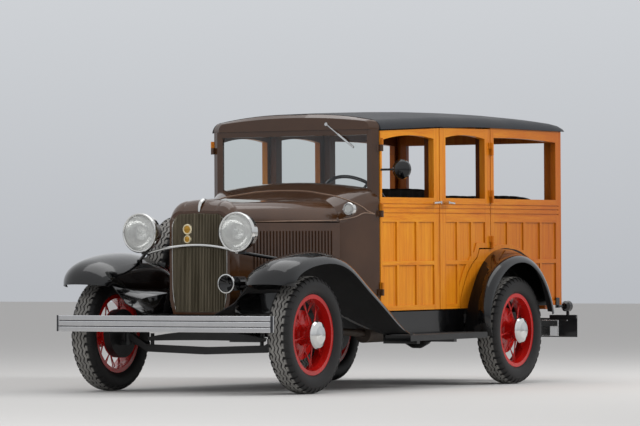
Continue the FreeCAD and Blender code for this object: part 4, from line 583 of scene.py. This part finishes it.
def is_fender_flank(x, y, z, n):
    """Steep upper faces of the rear fenders, between the body side and the crown."""
    between = (np.abs(x) > FENDER_INNER_X) & (np.abs(x) < FENDER_OUTER_X)
    return between & (n[:, 2] > DOWNWARD) & (n[:, 2] < MOSTLY)


def is_matting(x, y, z, n):
    """Tops of the running boards, clear of the body."""
    return (n[:, 2] > SQUARE_ON) & (z > MATTING_Z) & (np.abs(x) > MATTING_X)


def is_bumper_groove(x, y, z, n):
    """Floors and sides of the two grooves.

    The bumper stands level, so its heights come out 21.6 mm more here than they are drawn."""
    in_groove = (np.abs(z - GROOVES_Z[0]) < GROOVE_HALF) | (np.abs(z - GROOVES_Z[1]) < GROOVE_HALF)
    return (y < FRONT_BUMPER_Y) & in_groove & (n[:, 1] < HALF) & (np.abs(n[:, 0]) < MOSTLY)


SIDE_RULES = ((WOOD_PANEL, is_recess), (WOOD_INSIDE, is_inside), (HINGE_PAINT, is_hinge))
for side in ("left", "right"):
    for door in ("front", "rear"):
        dress(f"door_{door}_{side}", WOOD_FRAME, *SIDE_RULES, (CHROME, is_handle))
    dress(f"side_panel_{side}", WOOD_FRAME, *SIDE_RULES)
    dress(f"front_fender_{side}", BLACK, (UNDERSIDE, is_underside))
dress("tailgate", WOOD_FRAME, (WOOD_PANEL, is_tail_panel),
      (CHROME, lambda x, y, z, n: (y > TAIL_FACE_Y) & (z > TAIL_HANDLE_Z)),
      (BLACK, lambda x, y, z, n: (y > TAIL_FACE_Y) & (z < TAIL_HINGE_Z)))
dress("tail_sill", WOOD_FRAME, (BLACK, lambda x, y, z, n: y > TAIL_FACE_Y))
dress("rear_fenders", BLACK, (UNDERSIDE, is_fender_inside), (SATIN_BLACK, is_fender_flank))
dress("running_boards", BLACK, (MATTING, is_matting))
dress("radiator_grille", GRILLE, (IRON, lambda x, y, z, n: y > GRILLE_BARS_Y))
dress("headlamp_bar", BLACK, (CHROME, lambda x, y, z, n: np.abs(x) < LAMP_BAR_HALF))
dress("front_bumper", IRON, (BUMPER_CHROME, lambda x, y, z, n: y < FRONT_BUMPER_Y),
      (GROOVE_CHROME, is_bumper_groove))
dress("rear_bumper", IRON, (BUMPER_CHROME, lambda x, y, z, n: y > REAR_BUMPER_Y))
dress("tail_lamp", BLACK, (PLATE, lambda x, y, z, n: (z < PLATE_TOP_Z) & (y > PLATE_Y)))

# Nodes with one finish each
PLAIN_NODES = {
    "centre_pillars": WOOD_INSIDE,
    "floor": WOOD_FLOOR,
    "roof": ROOF,
    "cowl": BROWN,
    "windshield_frame": BROWN,
    "windshield_glass": WINDOW,
    "dash": BROWN,
    "steering_column": BAKELITE,
    "steering_wheel": BAKELITE,
    "radiator_shell": BROWN,
    "hood_top_left": BROWN,
    "hood_top_right": BROWN,
    "hood_side_left": BROWN,
    "hood_side_right": BROWN,
    "headlamps": CHROME,
    "headlamp_lenses": LENS,
    "horn": BLACK,
    "cowl_lamps": CHROME,
    "mirror": BLACK,
    "wiper": CHROME,
    "chassis_frame": IRON,
    "engine_block": CASTING,
    "exhaust": MUFFLER,
    "fuel_tank": IRON,
    "front_axle": IRON,
    "rear_axle": IRON,
    "knuckle_left": IRON,
    "knuckle_right": IRON,
}
for node, finish in PLAIN_NODES.items():
    dress(node, finish)


MIRRORED = Matrix.Diagonal((-1, 1, 1, 1))


def hub_frame(side, y):
    """Matrix that stands a shape drawn about X, outside at +X, at one wheel."""
    flip = Matrix.Diagonal((side, 1, 1, 1))
    return Matrix.Translation(road(side * TRACK / 2, y, TYRE_RADIUS)) @ flip


def spare_frame():
    """The same for the spare, which leans in the well of the right front fender."""
    lean = Matrix.Rotation(LEAN, 4, "X")
    toe = Matrix.Rotation(math.radians(SPARE_TOE_DEG), 4, "Z")
    tilt = Matrix.Rotation(math.radians(SPARE_LEAN_DEG), 4, "Y")
    return Matrix.Translation(body(*SPARE)) @ lean @ (toe @ tilt) @ MIRRORED


# Wheels by corner: frame, the node a tyre rides on, wheel node and tyre node
WHEELS = {
    "front_left": (hub_frame(1, 0.0), "wheel_front_left", "wheel_front_left", "tyre_front_left"),
    "front_right": (hub_frame(-1, 0.0), "wheel_front_right", "wheel_front_right", "tyre_front_right"),
    "rear_left": (hub_frame(1, WHEELBASE), "wheel_rear_left", "wheel_rear_left", "tyre_rear_left"),
    "rear_right": (hub_frame(-1, WHEELBASE), "wheel_rear_right", "wheel_rear_right", "tyre_rear_right"),
    "spare": (spare_frame(), "body", "spare_wheel", "spare_tyre"),
}
CAP_X = 77.5
CAP_RADIUS = 88.0
DRUM_X = -43.5
DRUM_RADIUS = 153.0


def dress_wheel(node, place):
    """Red rim and spokes, plated cap, dark drum, by the face's place about the wheel's own axis."""
    o = NODES[node]
    back = np.array(place.inverted())
    own = (face_vectors(o, "center") @ back[:3, :3].T + back[:3, 3]) / MM
    radius = np.hypot(own[:, 1], own[:, 2])
    index = np.zeros(len(own), np.int32)
    index[(own[:, 0] > CAP_X) & (radius < CAP_RADIUS)] = 1
    index[(own[:, 0] < DRUM_X) & (radius < DRUM_RADIUS)] = 2
    paint(o, (RED, CHROME, IRON), index)


def smoothed(mesh, degrees):
    """Shades a mesh smooth, but for its edges sharper than an angle."""
    mesh.shade_smooth()
    mesh.set_sharp_from_angle(angle=math.radians(degrees))


def shown_object(name, data):
    """A new object in the scene."""
    o = bpy.data.objects.new(name, data)
    bpy.context.scene.collection.objects.link(o)
    return o


def add_piece(name, mesh, finish, rides_on, smooth=35.0):
    """A new piece from a mesh in the row frame."""
    mesh.materials.append(finish)
    smoothed(mesh, smooth)
    o = shown_object(name, mesh)
    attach(o, rides_on)
    return o


def mesh_of(name, vertices, faces):
    """A mesh from lists of points and faces."""
    mesh = bpy.data.meshes.new(name)
    mesh.from_pydata([tuple(v) for v in vertices], [], [tuple(f) for f in faces])
    mesh.update()
    return mesh


def mesh_from(name, made):
    """A mesh from a bmesh, which is freed."""
    mesh = bpy.data.meshes.new(name)
    made.to_mesh(mesh)
    made.free()
    return mesh


def weld(mesh):
    """Joins doubled points and turns all faces outwards."""
    made = bmesh.new()
    made.from_mesh(mesh)
    bmesh.ops.remove_doubles(made, verts=made.verts[:], dist=1e-6)
    bmesh.ops.recalc_face_normals(made, faces=made.faces[:])
    made.to_mesh(mesh)
    made.free()


def about_x(x, radius, angle):
    """A point round the X axis, from millimetres and radians, in metres."""
    return (x * MM, radius * MM * math.cos(angle), radius * MM * math.sin(angle))


def ring_faces(segments, count, start=0):
    """Quads between neighbouring outlines of count points, which stand in a closed ring."""
    faces = []
    for i in range(segments):
        a = start + i * count
        b = start + (i + 1) % segments * count
        for j in range(count - 1):
            faces.append((a + j, a + j + 1, b + j + 1, b + j))
    return faces


def row_pairs(rows, around):
    """Neighbouring points a, b of closed rows, as indices, for each of the rows."""
    for i in range(rows):
        for j in range(around):
            yield i * around + j, i * around + (j + 1) % around


# The tyre's section from bead to crown: distance from the middle, and radius
TREAD_BASE = 350.0
CARCASS = ((45, 246), (56, 251), (67, 262), (73, 278), (75.5, 296), (75, 312), (72, 326), (66, 338),
           (56, 346), (42, TREAD_BASE), (20, TREAD_BASE))
CARCASS_SEGMENTS = 108
ZIGZAGS = 44
ZIGZAG = 6.0
# Ribs: place across the tread, half width, and how far the top lies below the middle rib
RIBS = ((-25.5, 8.5, 1.2), (0.0, 8.5, 0.0), (25.5, 8.5, 1.2))
RIB_TOP = TYRE_RADIUS - 0.4
RIB_ROOT = TREAD_BASE - 3
# Shoulder lugs: place across the tread, radius, and half width in steps of the zigzag
LUG = ((38.5, 346, 0.62), (38.5, 357.4, 0.62), (50, 355.0, 0.62), (61, 349.5, 0.62), (69.5, 339.5, 0.5),
       (74.5, 327, 0.5), (71, 324, 0.5))
LUG_LIMIT = TYRE_WIDTH / 2 - 1
LUG_ROOT_LIMIT = TYRE_WIDTH / 2 - 6
LUG_INSET = 3
LUG_DEPTH = 9


def lug_faces(start, side):
    """The outer face and the two flanks of one shoulder lug, whose points begin at start."""
    low = start + 2 * len(LUG)
    faces = []
    for j in range(start, low - 2, 2):
        quad = (j, j + 1, j + 3, j + 2)
        faces.append(quad if side < 0 else quad[::-1])
    for j in range(0, low - start - 2, 2):
        for k in (0, 1):
            quad = (start + j + k, start + j + 2 + k, low + j + 2 + k, low + j + k)
            faces.append(quad if (k == 0) == (side < 0) else quad[::-1])
    return faces


def tread_tyre():
    """A tyre with a carcass, three zigzag ribs and shoulder lugs that wrap over its edges."""
    steps = 2 * ZIGZAGS
    section = [(-x, radius) for x, radius in CARCASS] + list(CARCASS[::-1])
    vertices = [about_x(x, radius, 2 * math.pi * i / CARCASS_SEGMENTS)
                for i in range(CARCASS_SEGMENTS) for x, radius in section]
    faces = ring_faces(CARCASS_SEGMENTS, len(section))
    for centre, reach, drop in RIBS:
        start = len(vertices)
        top = RIB_TOP - drop
        outline = ((-reach, RIB_ROOT), (-reach, top), (reach, top), (reach, RIB_ROOT))
        for i in range(steps):
            swing = ZIGZAG if i % 2 else -ZIGZAG
            for x, radius in outline:
                vertices.append(about_x(centre + swing + x, radius, 2 * math.pi * i / steps))
        faces += ring_faces(steps, len(outline), start)
    for side in (-1, 1):
        offset = 0.5 if side > 0 else 1.5
        for i in range(0, steps, 2):
            start = len(vertices)
            for limit, inset, depth in ((LUG_LIMIT, 0, 0), (LUG_ROOT_LIMIT, LUG_INSET, LUG_DEPTH)):
                for x, radius, wide in LUG:
                    for way in (-wide, wide):
                        angle = 2 * math.pi * (i + offset + way) / steps
                        vertices.append(about_x(side * min(x - inset, limit), radius - depth, angle))
            faces += lug_faces(start, side)
    return vertices, faces


tyre_vertices, tyre_faces = tread_tyre()
for corner, (place, rides_on, wheel_node, tyre_node) in WHEELS.items():
    dress_wheel(wheel_node, place)
    tyre_mesh = mesh_of(f"treaded_tyre_{corner}", tyre_vertices, tyre_faces)
    if place.determinant() < 0:
        tyre_mesh.transform(MIRRORED)
        tyre_mesh.flip_normals()
        place = place @ MIRRORED
    tyre_mesh.materials.append(TYRE)
    smoothed(tyre_mesh, 35)
    piece = shown_object(f"treaded_tyre_{corner}", tyre_mesh)
    piece.matrix_world = place
    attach(piece, rides_on)
    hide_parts(tyre_node)


SEAT_CUTS = 59
PLEATS = 12
ROUNDNESS = 0.16
# How far that roundness is taken across the ends, and on the other faces
SOFT_ENDS = 0.1
SOFT_FACES = 1.6
SEAM_SHAPE = 0.35
REST_TOP_FROM = 0.9
# Depths of the seams on top, over the front edge, on a back rest, and over its upper edge
TOP_SEAM = 9
EDGE_SEAM = 7
REST_SEAM = 13
REST_TOP_SEAM = 2


def cushion(name, low, high, channel, slant=0.0):
    """A padded bench part: a crowned closed form with sewn channels across X on its top or front.

    slant moves the top back, in millimetres, for a back rest."""
    made = bmesh.new()
    bmesh.ops.create_cube(made, size=2.0)
    bmesh.ops.subdivide_edges(made, edges=made.edges[:], cuts=SEAT_CUTS, use_grid_fill=True)
    size = [(b - a) / 2 for a, b in zip(low, high)]
    middle = [(a + b) / 2 for a, b in zip(low, high)]
    for vertex in made.verts:
        u, v, w = vertex.co
        pull = [1 - ROUNDNESS * (abs(b) ** 6 + abs(c) ** 6) / 2 for b, c in ((v, w), (u, w), (u, v))]
        seam = 1 - abs(math.sin(math.pi * PLEATS * (u + 1) / 2)) ** SEAM_SHAPE
        x = u * size[0] * (1 - SOFT_ENDS * (1 - pull[0]))
        y = v * size[1] * (1 - (1 - pull[1]) * SOFT_FACES)
        z = w * size[2] * (1 - (1 - pull[2]) * SOFT_FACES)
        if channel == "top" and w > 0:
            z -= seam * TOP_SEAM * w ** 2
        if channel == "top" and v < 0:
            y += seam * EDGE_SEAM * v ** 4 * max(0.0, w)
        if channel == "front" and v < 0:
            y += seam * REST_SEAM * v ** 2
        if channel == "front" and w > REST_TOP_FROM:
            z -= seam * REST_TOP_SEAM
        y += slant * (w + 1) / 2
        vertex.co = body(middle[0] + x, middle[1] + y, middle[2] + z)
    return mesh_from(name, made)


REST_SLANT = 76.0
FLOOR_TOP = 530.5
# Where the parts of a bench lie beside its own corners: inset from its ends, and ranges of Y and Z
SOFT_INSET = 2
SEAT_FROM_FRONT = 2
SEAT_PAST_BACK = 6
SEAT_ABOVE_BASE = (14, 149)
REST_FROM_BACK = (-19, 52)
REST_ABOVE_BASE = 122
REST_BELOW_TOP = 1
PLINTH_INSET = 30
PLINTH_FROM_FRONT = 40
PLINTH_FROM_BACK = 10
PLINTH_ABOVE_BASE = 20
PLINTH_EDGE = 6


def bench(node, front, back_y, half, top, base):
    """Seat cushion, back rest and plinth that stand for a CAD bench."""
    soft_half = half - SOFT_INSET
    seat_low = (-soft_half, front + SEAT_FROM_FRONT, base + SEAT_ABOVE_BASE[0])
    seat_high = (soft_half, back_y + SEAT_PAST_BACK, base + SEAT_ABOVE_BASE[1])
    seat_mesh = cushion(f"{node}_cushion", seat_low, seat_high, "top")
    seat = add_piece(f"{node}_cushion", seat_mesh, LEATHER, "body")
    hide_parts(node)
    rest_low = (-soft_half, back_y + REST_FROM_BACK[0], base + REST_ABOVE_BASE)
    rest_high = (soft_half, back_y + REST_FROM_BACK[1], top - REST_BELOW_TOP)
    rest_mesh = cushion(f"{node}_back", rest_low, rest_high, "front", REST_SLANT)
    rest = add_piece(f"{node}_back", rest_mesh, LEATHER, "body")
    plinth = bmesh.new()
    bmesh.ops.create_cube(plinth, size=1.0)
    plinth_half = half - PLINTH_INSET
    low = (-plinth_half, front + PLINTH_FROM_FRONT, FLOOR_TOP)
    high = (plinth_half, back_y - PLINTH_FROM_BACK, base + PLINTH_ABOVE_BASE)
    for vertex in plinth.verts:
        vertex.co = body(*[a + (c + 0.5) * (b - a) for a, b, c in zip(low, high, vertex.co)])
    bmesh.ops.bevel(plinth, geom=plinth.edges[:], offset=PLINTH_EDGE * MM, segments=3, affect="EDGES")
    add_piece(f"{node}_plinth", mesh_from(f"{node}_plinth", plinth), WOOD_INSIDE, "body")


# Benches: node, front Y, back Y, half width, top Z, base Z
BENCHES = (
    ("seat_front", 1480, 1900, 540, 1296, 690),
    ("seat_middle", 2190, 2560, 540, 1255, 690),
    ("seat_rear", 3000, 3330, 500, 1262, 690),
)
for row in BENCHES:
    bench(*row)


def bead(name, points, radius, finish, rides_on="body"):
    """A round bead along points of the drawn body, as a smooth curve turned into a mesh."""
    curve = bpy.data.curves.new(name, "CURVE")
    curve.dimensions = "3D"
    curve.bevel_depth = radius * MM
    curve.bevel_resolution = 3
    curve.resolution_u = 8
    curve.use_fill_caps = True
    spline = curve.splines.new("NURBS")
    spline.points.add(len(points) - 1)
    for point, where in zip(spline.points, points):
        point.co = (*body(*where), 1.0)
    spline.order_u = 3
    spline.use_endpoint_u = True
    maker = shown_object(name + "_line", curve)
    bpy.context.view_layer.update()
    mesh = bpy.data.meshes.new_from_object(maker.evaluated_get(bpy.context.evaluated_depsgraph_get()))
    mesh.name = name
    bpy.data.objects.remove(maker)
    mesh.materials.clear()
    return add_piece(name, mesh, finish, rides_on, 50.0)


def turned(name, profile, centre, finish, rides_on="body", place=body, segments=64):
    """A lathe piece about a line along Y through its centre, from (radius, y) corners."""
    x0, y0, z0 = centre
    vertices = []
    for i in range(segments):
        angle = 2 * math.pi * i / segments
        for radius, along in profile:
            vertices.append(place(x0 + radius * math.cos(angle), y0 + along, z0 + radius * math.sin(angle)))
    mesh = mesh_of(name, vertices, ring_faces(segments, len(profile)))
    weld(mesh)
    return add_piece(name, mesh, finish, rides_on)


LENS_GAP = 0.5
LENS_SET = 5
LENS_DOME = 21
LENS_RINGS = 22
LENS_AROUND = 96
FLUTE_DEPTH = 1.3
FLUTE_PITCH = 8.5


def fluted_lens(name, x, y, z, radius):
    """A domed lens with upright flutes pressed into its face."""
    vertices = []
    for i in range(LENS_RINGS + 1):
        r = radius * i / LENS_RINGS
        dome = LENS_DOME * (1 - (r / radius) ** 2)
        for j in range(LENS_AROUND):
            angle = 2 * math.pi * j / LENS_AROUND
            u = r * math.cos(angle)
            v = r * math.sin(angle)
            flute = FLUTE_DEPTH * abs(math.sin(math.pi * u / FLUTE_PITCH)) * (1 - (r / radius) ** 6)
            vertices.append(body(x + u, y - LENS_SET - dome - flute, z + v))
    faces = [(a, b, b + LENS_AROUND, a + LENS_AROUND) for a, b in row_pairs(LENS_RINGS, LENS_AROUND)]
    mesh = mesh_of(name, vertices, faces)
    weld(mesh)
    return mesh


# Outlines of the headlamp's turned parts: radius, and Y from the lamp's centre
REFLECTOR_LINE = ((108, 14), (96, 40), (78, 66), (52, 90), (22, 106), (0.5, 110))
BULB_LINE = ((0.5, 34), (9, 38), (13, 48), (11, 60), (7, 70), (7, 108))
LAMP_RIM_LINE = ((109.5, -5), (112, -11), (117, -13.5), (121.5, -11), (123.8, -5), (123.8, 2))
for side, hand in ((1, "left"), (-1, "right")):
    centre = (side * HEADLAMP[0], HEADLAMP[1], HEADLAMP[2])
    lens_name = f"fluted_lens_{hand}"
    lens_mesh = fluted_lens(lens_name, *centre, LENS_RADIUS - LENS_GAP)
    lens = add_piece(lens_name, lens_mesh, FROSTED, "body", 70.0)
    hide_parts("headlamp_lenses")
    turned(f"lamp_reflector_{hand}", REFLECTOR_LINE, centre, CHROME)
    turned(f"lamp_bulb_{hand}", BULB_LINE, centre, LENS, segments=24)
    turned(f"lamp_rim_{hand}", LAMP_RIM_LINE, centre, CHROME)

# Bright line round the grille opening: x, z
GRILLE_EDGE = ((-172, 516), (-198, 606), (-199, 800), (-199, 1000), (-198, 1058), (-172, 1094),
               (-104, 1114), (0, 1122), (104, 1114), (172, 1094), (198, 1058), (199, 1000), (199, 800),
               (198, 606), (172, 516))
GRILLE_BEAD_RADIUS = 2.6
bead("grille_bead", [(x, GRILLE_FRONT_Y, z) for x, z in GRILLE_EDGE], GRILLE_BEAD_RADIUS, CHROME)

# Two blank discs on the bars: number, z, and size beside the larger one
DISC_FACE_LINE = ((0.5, -6), (17, -5.5), (23, -4), (23, 0), (23, 6))
DISC_RIM_LINE = ((22, -2), (24, -7), (29, -7.5), (33, -3), (33, 6))
DISCS = ((1, 1024, 1.0), (2, 963, 0.78))
for number, disc_z, disc_size in DISCS:
    centre = (DISC_X, DISC_Y, disc_z)
    face = [(radius * disc_size, along) for radius, along in DISC_FACE_LINE]
    rim = [(radius * disc_size, along) for radius, along in DISC_RIM_LINE]
    turned(f"blank_disc_{number}", face, centre, GOLD)
    turned(f"blank_disc_rim_{number}", rim, centre, CREAM)

# Sections of the fin: y, z, half width, height
FIN = ((-90, 1132, 6, 10), (-86, 1156, 9, 18), (-74, 1178, 12, 24), (-52, 1193, 14, 26), (-26, 1201, 12, 19),
       (-12, 1203, 8, 12), (-4, 1204, 3, 5))
FIN_AROUND = 12


def fin():
    """A plain tapering blade along the middle of the shell's top."""
    vertices = []
    for y, z, wide, tall in FIN:
        for j in range(FIN_AROUND):
            angle = 2 * math.pi * j / FIN_AROUND
            vertices.append(body(wide * math.cos(angle), y, z + tall * 0.5 * math.sin(angle) + tall * 0.3))
    faces = [(a, a + FIN_AROUND, b + FIN_AROUND, b) for a, b in row_pairs(len(FIN) - 1, FIN_AROUND)]
    faces.append(tuple(range(FIN_AROUND)))
    faces.append(tuple(range(len(vertices) - FIN_AROUND, len(vertices)))[::-1])
    return mesh_of("shell_fin", vertices, faces)


add_piece("shell_fin", fin(), CHROME, "body")

# Painted mouldings round the cowl, down its sides and along the foot of the hood tops, coloured lighter than
# the body brown as a painted highlight: x, y, z on the left
COWL_BEAD = ((0, 918, 1274), (76, 917, 1272.5), (151, 913, 1269), (195, 909, 1266), (236, 901, 1261),
             (276, 891, 1254.5), (314, 882, 1249), (347, 877, 1244), (377, 873, 1240), (406, 870, 1235.5),
             (430, 871.5, 1229.5), (451, 876, 1223), (473.5, 883, 1215.5), (498, 894, 1205),
             (523, 909.5, 1193.5), (542, 926.5, 1182), (555.5, 942.5, 1172), (565, 958.5, 1162),
             (571.5, 973, 1153.5), (577, 986, 1142), (582, 996, 1136), (592, 1018, 1128), (604, 1044.5, 1119))
SIDE_BEAD = ((480.5, 802.5, 1080), (493, 815.5, 1082), (503.5, 831, 1085), (514, 848, 1088),
             (524.5, 867, 1092), (534.5, 888, 1096), (543.5, 908, 1101), (550.5, 925, 1107.5),
             (557, 940, 1115), (564, 955, 1121.5), (571.5, 973, 1125), (582, 996, 1124.5),
             (594, 1022.5, 1120.5), (604, 1044.5, 1117))
HOOD_BEAD = ((272, 126, 1070), (360, 395, 1073), (475, 767, 1077.5), (478, 776, 1078))
BEAD_RADIUS = 3.4
COWL_LENS_LINE = ((0.5, -9), (14, -8), (25, -4), (31, 2), (31, 6))
COWL_RIM_LINE = ((30, 1), (33, -5), (38, -5), (42, 0), (42, 8))


def on_side(side, points):
    """Points of the left side, kept or moved to the right."""
    return [(side * x, y, z) for x, y, z in points]


bead("cowl_bead", on_side(-1, COWL_BEAD[:0:-1]) + list(COWL_BEAD), BEAD_RADIUS, MOULDING_PAINTED_HIGHLIGHT)
for side, hand in ((1, "left"), (-1, "right")):
    bead(f"cowl_side_bead_{hand}", on_side(side, SIDE_BEAD), BEAD_RADIUS, MOULDING_PAINTED_HIGHLIGHT)
    bead(f"hood_bead_{hand}", on_side(side, HOOD_BEAD), BEAD_RADIUS, MOULDING_PAINTED_HIGHLIGHT, f"hood_top_{hand}")
    centre = on_side(side, [COWL_LAMP])[0]
    turned(f"cowl_lamp_lens_{hand}", COWL_LENS_LINE, centre, FROSTED, segments=40)
    turned(f"cowl_lamp_rim_{hand}", COWL_RIM_LINE, centre, CHROME, segments=40)

# Small round parts: horn rim, mirror back, tail lens and dials with plain faces
HORN_LINE = ((50, -252), (53, -258), (59, -257), (61, -251), (57, -247))
MIRROR_LINE = ((0.5, -36), (20, -34), (40, -27), (56, -17), (63, -9))
TAIL_LINE = ((0.5, 8), (16, 7), (27, 3), (33, -3), (33, -8))
turned("horn_rim", HORN_LINE, HORN, CHROME)
turned("mirror_back", MIRROR_LINE, MIRROR_BACK, BLACK, "door_front_left")
turned("tail_lens", TAIL_LINE, TAIL_LENS, RED_LENS, place=road, segments=40)
# Dials: number, x, radius, finish
DIALS = ((1, -70, 34, NICKEL), (2, 0, 46, CREAM), (3, 70, 34, NICKEL), (4, 360, 30, NICKEL))
for number, dial_x, size, finish in DIALS:
    line = ((0.5, 1), (size * 0.86, 1), (size, 5), (size * 1.08, 2), (size * 1.08, -1))
    turned(f"dial_{number}", line, (dial_x, DASH_REAR_Y, DIAL_Z), finish, segments=40)


# Studio: pale floor, soft even light, and a background that camera, mirrors and glass all show
FLOOR_TONE = rgb(197, 196, 194)
FLOOR_HALF = 90
floor_finish = Finish("studio_floor")
floor_finish.set(base_color=FLOOR_TONE, roughness=0.85, specular_ior_level=0.2)
floor_corners = [(x * FLOOR_HALF, y * FLOOR_HALF, 0) for x, y in ((-1, -1), (1, -1), (1, 1), (-1, 1))]
floor_mesh = mesh_of("studio_floor", floor_corners, [(0, 1, 2, 3)])
floor_mesh.materials.append(floor_finish.material)
floor = shown_object("studio_floor", floor_mesh)

LIGHT_STRENGTH = 0.72
LIGHT_ENDS = ((0.2, 0.2, 0.21, 1), (1.0, 1.0, 1.0, 1))
LIGHT_TONES = ((0.09, 0.22), (0.3, 0.62), (0.6, 0.95))
LIGHT_STOPS = [(place, (tone, tone, tone * 1.03, 1)) for place, tone in LIGHT_TONES]
SHOWN_ENDS = (rgb(176, 179, 183), rgb(240, 241, 243))
SHOWN_STOPS = ((0.09, rgb(186, 189, 194)), (0.16, rgb(206, 209, 213)), (0.34, rgb(226, 228, 231)))
world = bpy.data.worlds.new("studio")
bpy.context.scene.world = world
world.use_nodes = True
sky = world.node_tree
sky.nodes.clear()
link = sky.links.new


def sky_gradient(height, ends, stops, strength):
    """A background of the world whose colour follows the height of the ray."""
    ramp = sky.nodes.new("ShaderNodeValToRGB")
    elements = ramp.color_ramp.elements
    elements[0].color, elements[1].color = ends
    for place, tone in stops:
        stop = elements.new(place)
        stop.color = tone
    made = sky.nodes.new("ShaderNodeBackground")
    made.inputs["Strength"].default_value = strength
    link(height, ramp.inputs[0])
    link(ramp.outputs[0], made.inputs["Color"])
    return made.outputs[0]


def larger_of(first, second):
    """The larger of two values of the world."""
    made = sky.nodes.new("ShaderNodeMath")
    made.operation = "MAXIMUM"
    link(first, made.inputs[0])
    link(second, made.inputs[1])
    return made.outputs[0]


coordinates = sky.nodes.new("ShaderNodeTexCoord")
split = sky.nodes.new("ShaderNodeSeparateXYZ")
height = sky.nodes.new("ShaderNodeMapRange")
height.inputs["From Min"].default_value = -0.1
height.inputs["From Max"].default_value = 1.0
link(coordinates.outputs["Generated"], split.inputs[0])
link(split.outputs[2], height.inputs["Value"])
path = sky.nodes.new("ShaderNodeLightPath")
seen_directly = larger_of(path.outputs["Is Camera Ray"], path.outputs["Is Transmission Ray"])
choose = sky.nodes.new("ShaderNodeMixShader")
output = sky.nodes.new("ShaderNodeOutputWorld")
link(larger_of(seen_directly, path.outputs["Is Glossy Ray"]), choose.inputs[0])
link(sky_gradient(height.outputs[0], LIGHT_ENDS, LIGHT_STOPS, LIGHT_STRENGTH), choose.inputs[1])
link(sky_gradient(height.outputs[0], SHOWN_ENDS, SHOWN_STOPS, 1.0), choose.inputs[2])
link(choose.outputs[0], output.inputs[0])

# Lamps: name, place, aim, size, power, and whether gloss shows them
LAMPS = (
    ("key", (7.5, 5.5, 6.2), (0.3, 0.3, 0.9), (3.0, 3.0), 560, False),
    ("fill", (3.0, -9.0, 3.5), (0, -1.0, 0.8), (6.0, 3.0), 170, False),
    ("top", (0.0, 0.5, 7.5), (0, 0.3, 1.0), (7.0, 7.0), 205, True),
)
for name, place, aim, size, power, in_gloss in LAMPS:
    light = bpy.data.lights.new(name, "AREA")
    light.shape = "RECTANGLE"
    light.size, light.size_y = size
    light.energy = power
    lamp = shown_object(name, light)
    lamp.location = place
    lamp.visible_glossy = in_gloss
    lamp.rotation_euler = (Vector(aim) - Vector(place)).to_track_quat("-Z", "Y").to_euler()

# Camera, fitted to the photograph: place in drawn millimetres, and focal length in pixels of its frame
CAMERA_PLACE = (12231.3, -19454.3, 675.2)
CAMERA_AZIMUTH = math.radians(30.41)
CAMERA_PITCH = math.radians(1.084)
FOCAL_PIXELS = 3708.0
FRAME_PIXELS = 640.0
SENSOR_WIDTH = 36.0
camera = shown_object("camera", bpy.data.cameras.new("camera"))
camera.location = road(*CAMERA_PLACE)
level_share = math.cos(CAMERA_PITCH)
ahead = Vector((-math.sin(CAMERA_AZIMUTH) * level_share, math.cos(CAMERA_AZIMUTH) * level_share,
                math.sin(CAMERA_PITCH)))
camera.rotation_mode = "QUATERNION"
camera.rotation_quaternion = ahead.to_track_quat("-Z", "Y")
camera.data.sensor_width = SENSOR_WIDTH
camera.data.lens = SENSOR_WIDTH * FOCAL_PIXELS / FRAME_PIXELS
camera.data.clip_end = 300.0
bpy.context.scene.camera = camera
bpy.context.scene.view_settings.view_transform = "Standard"
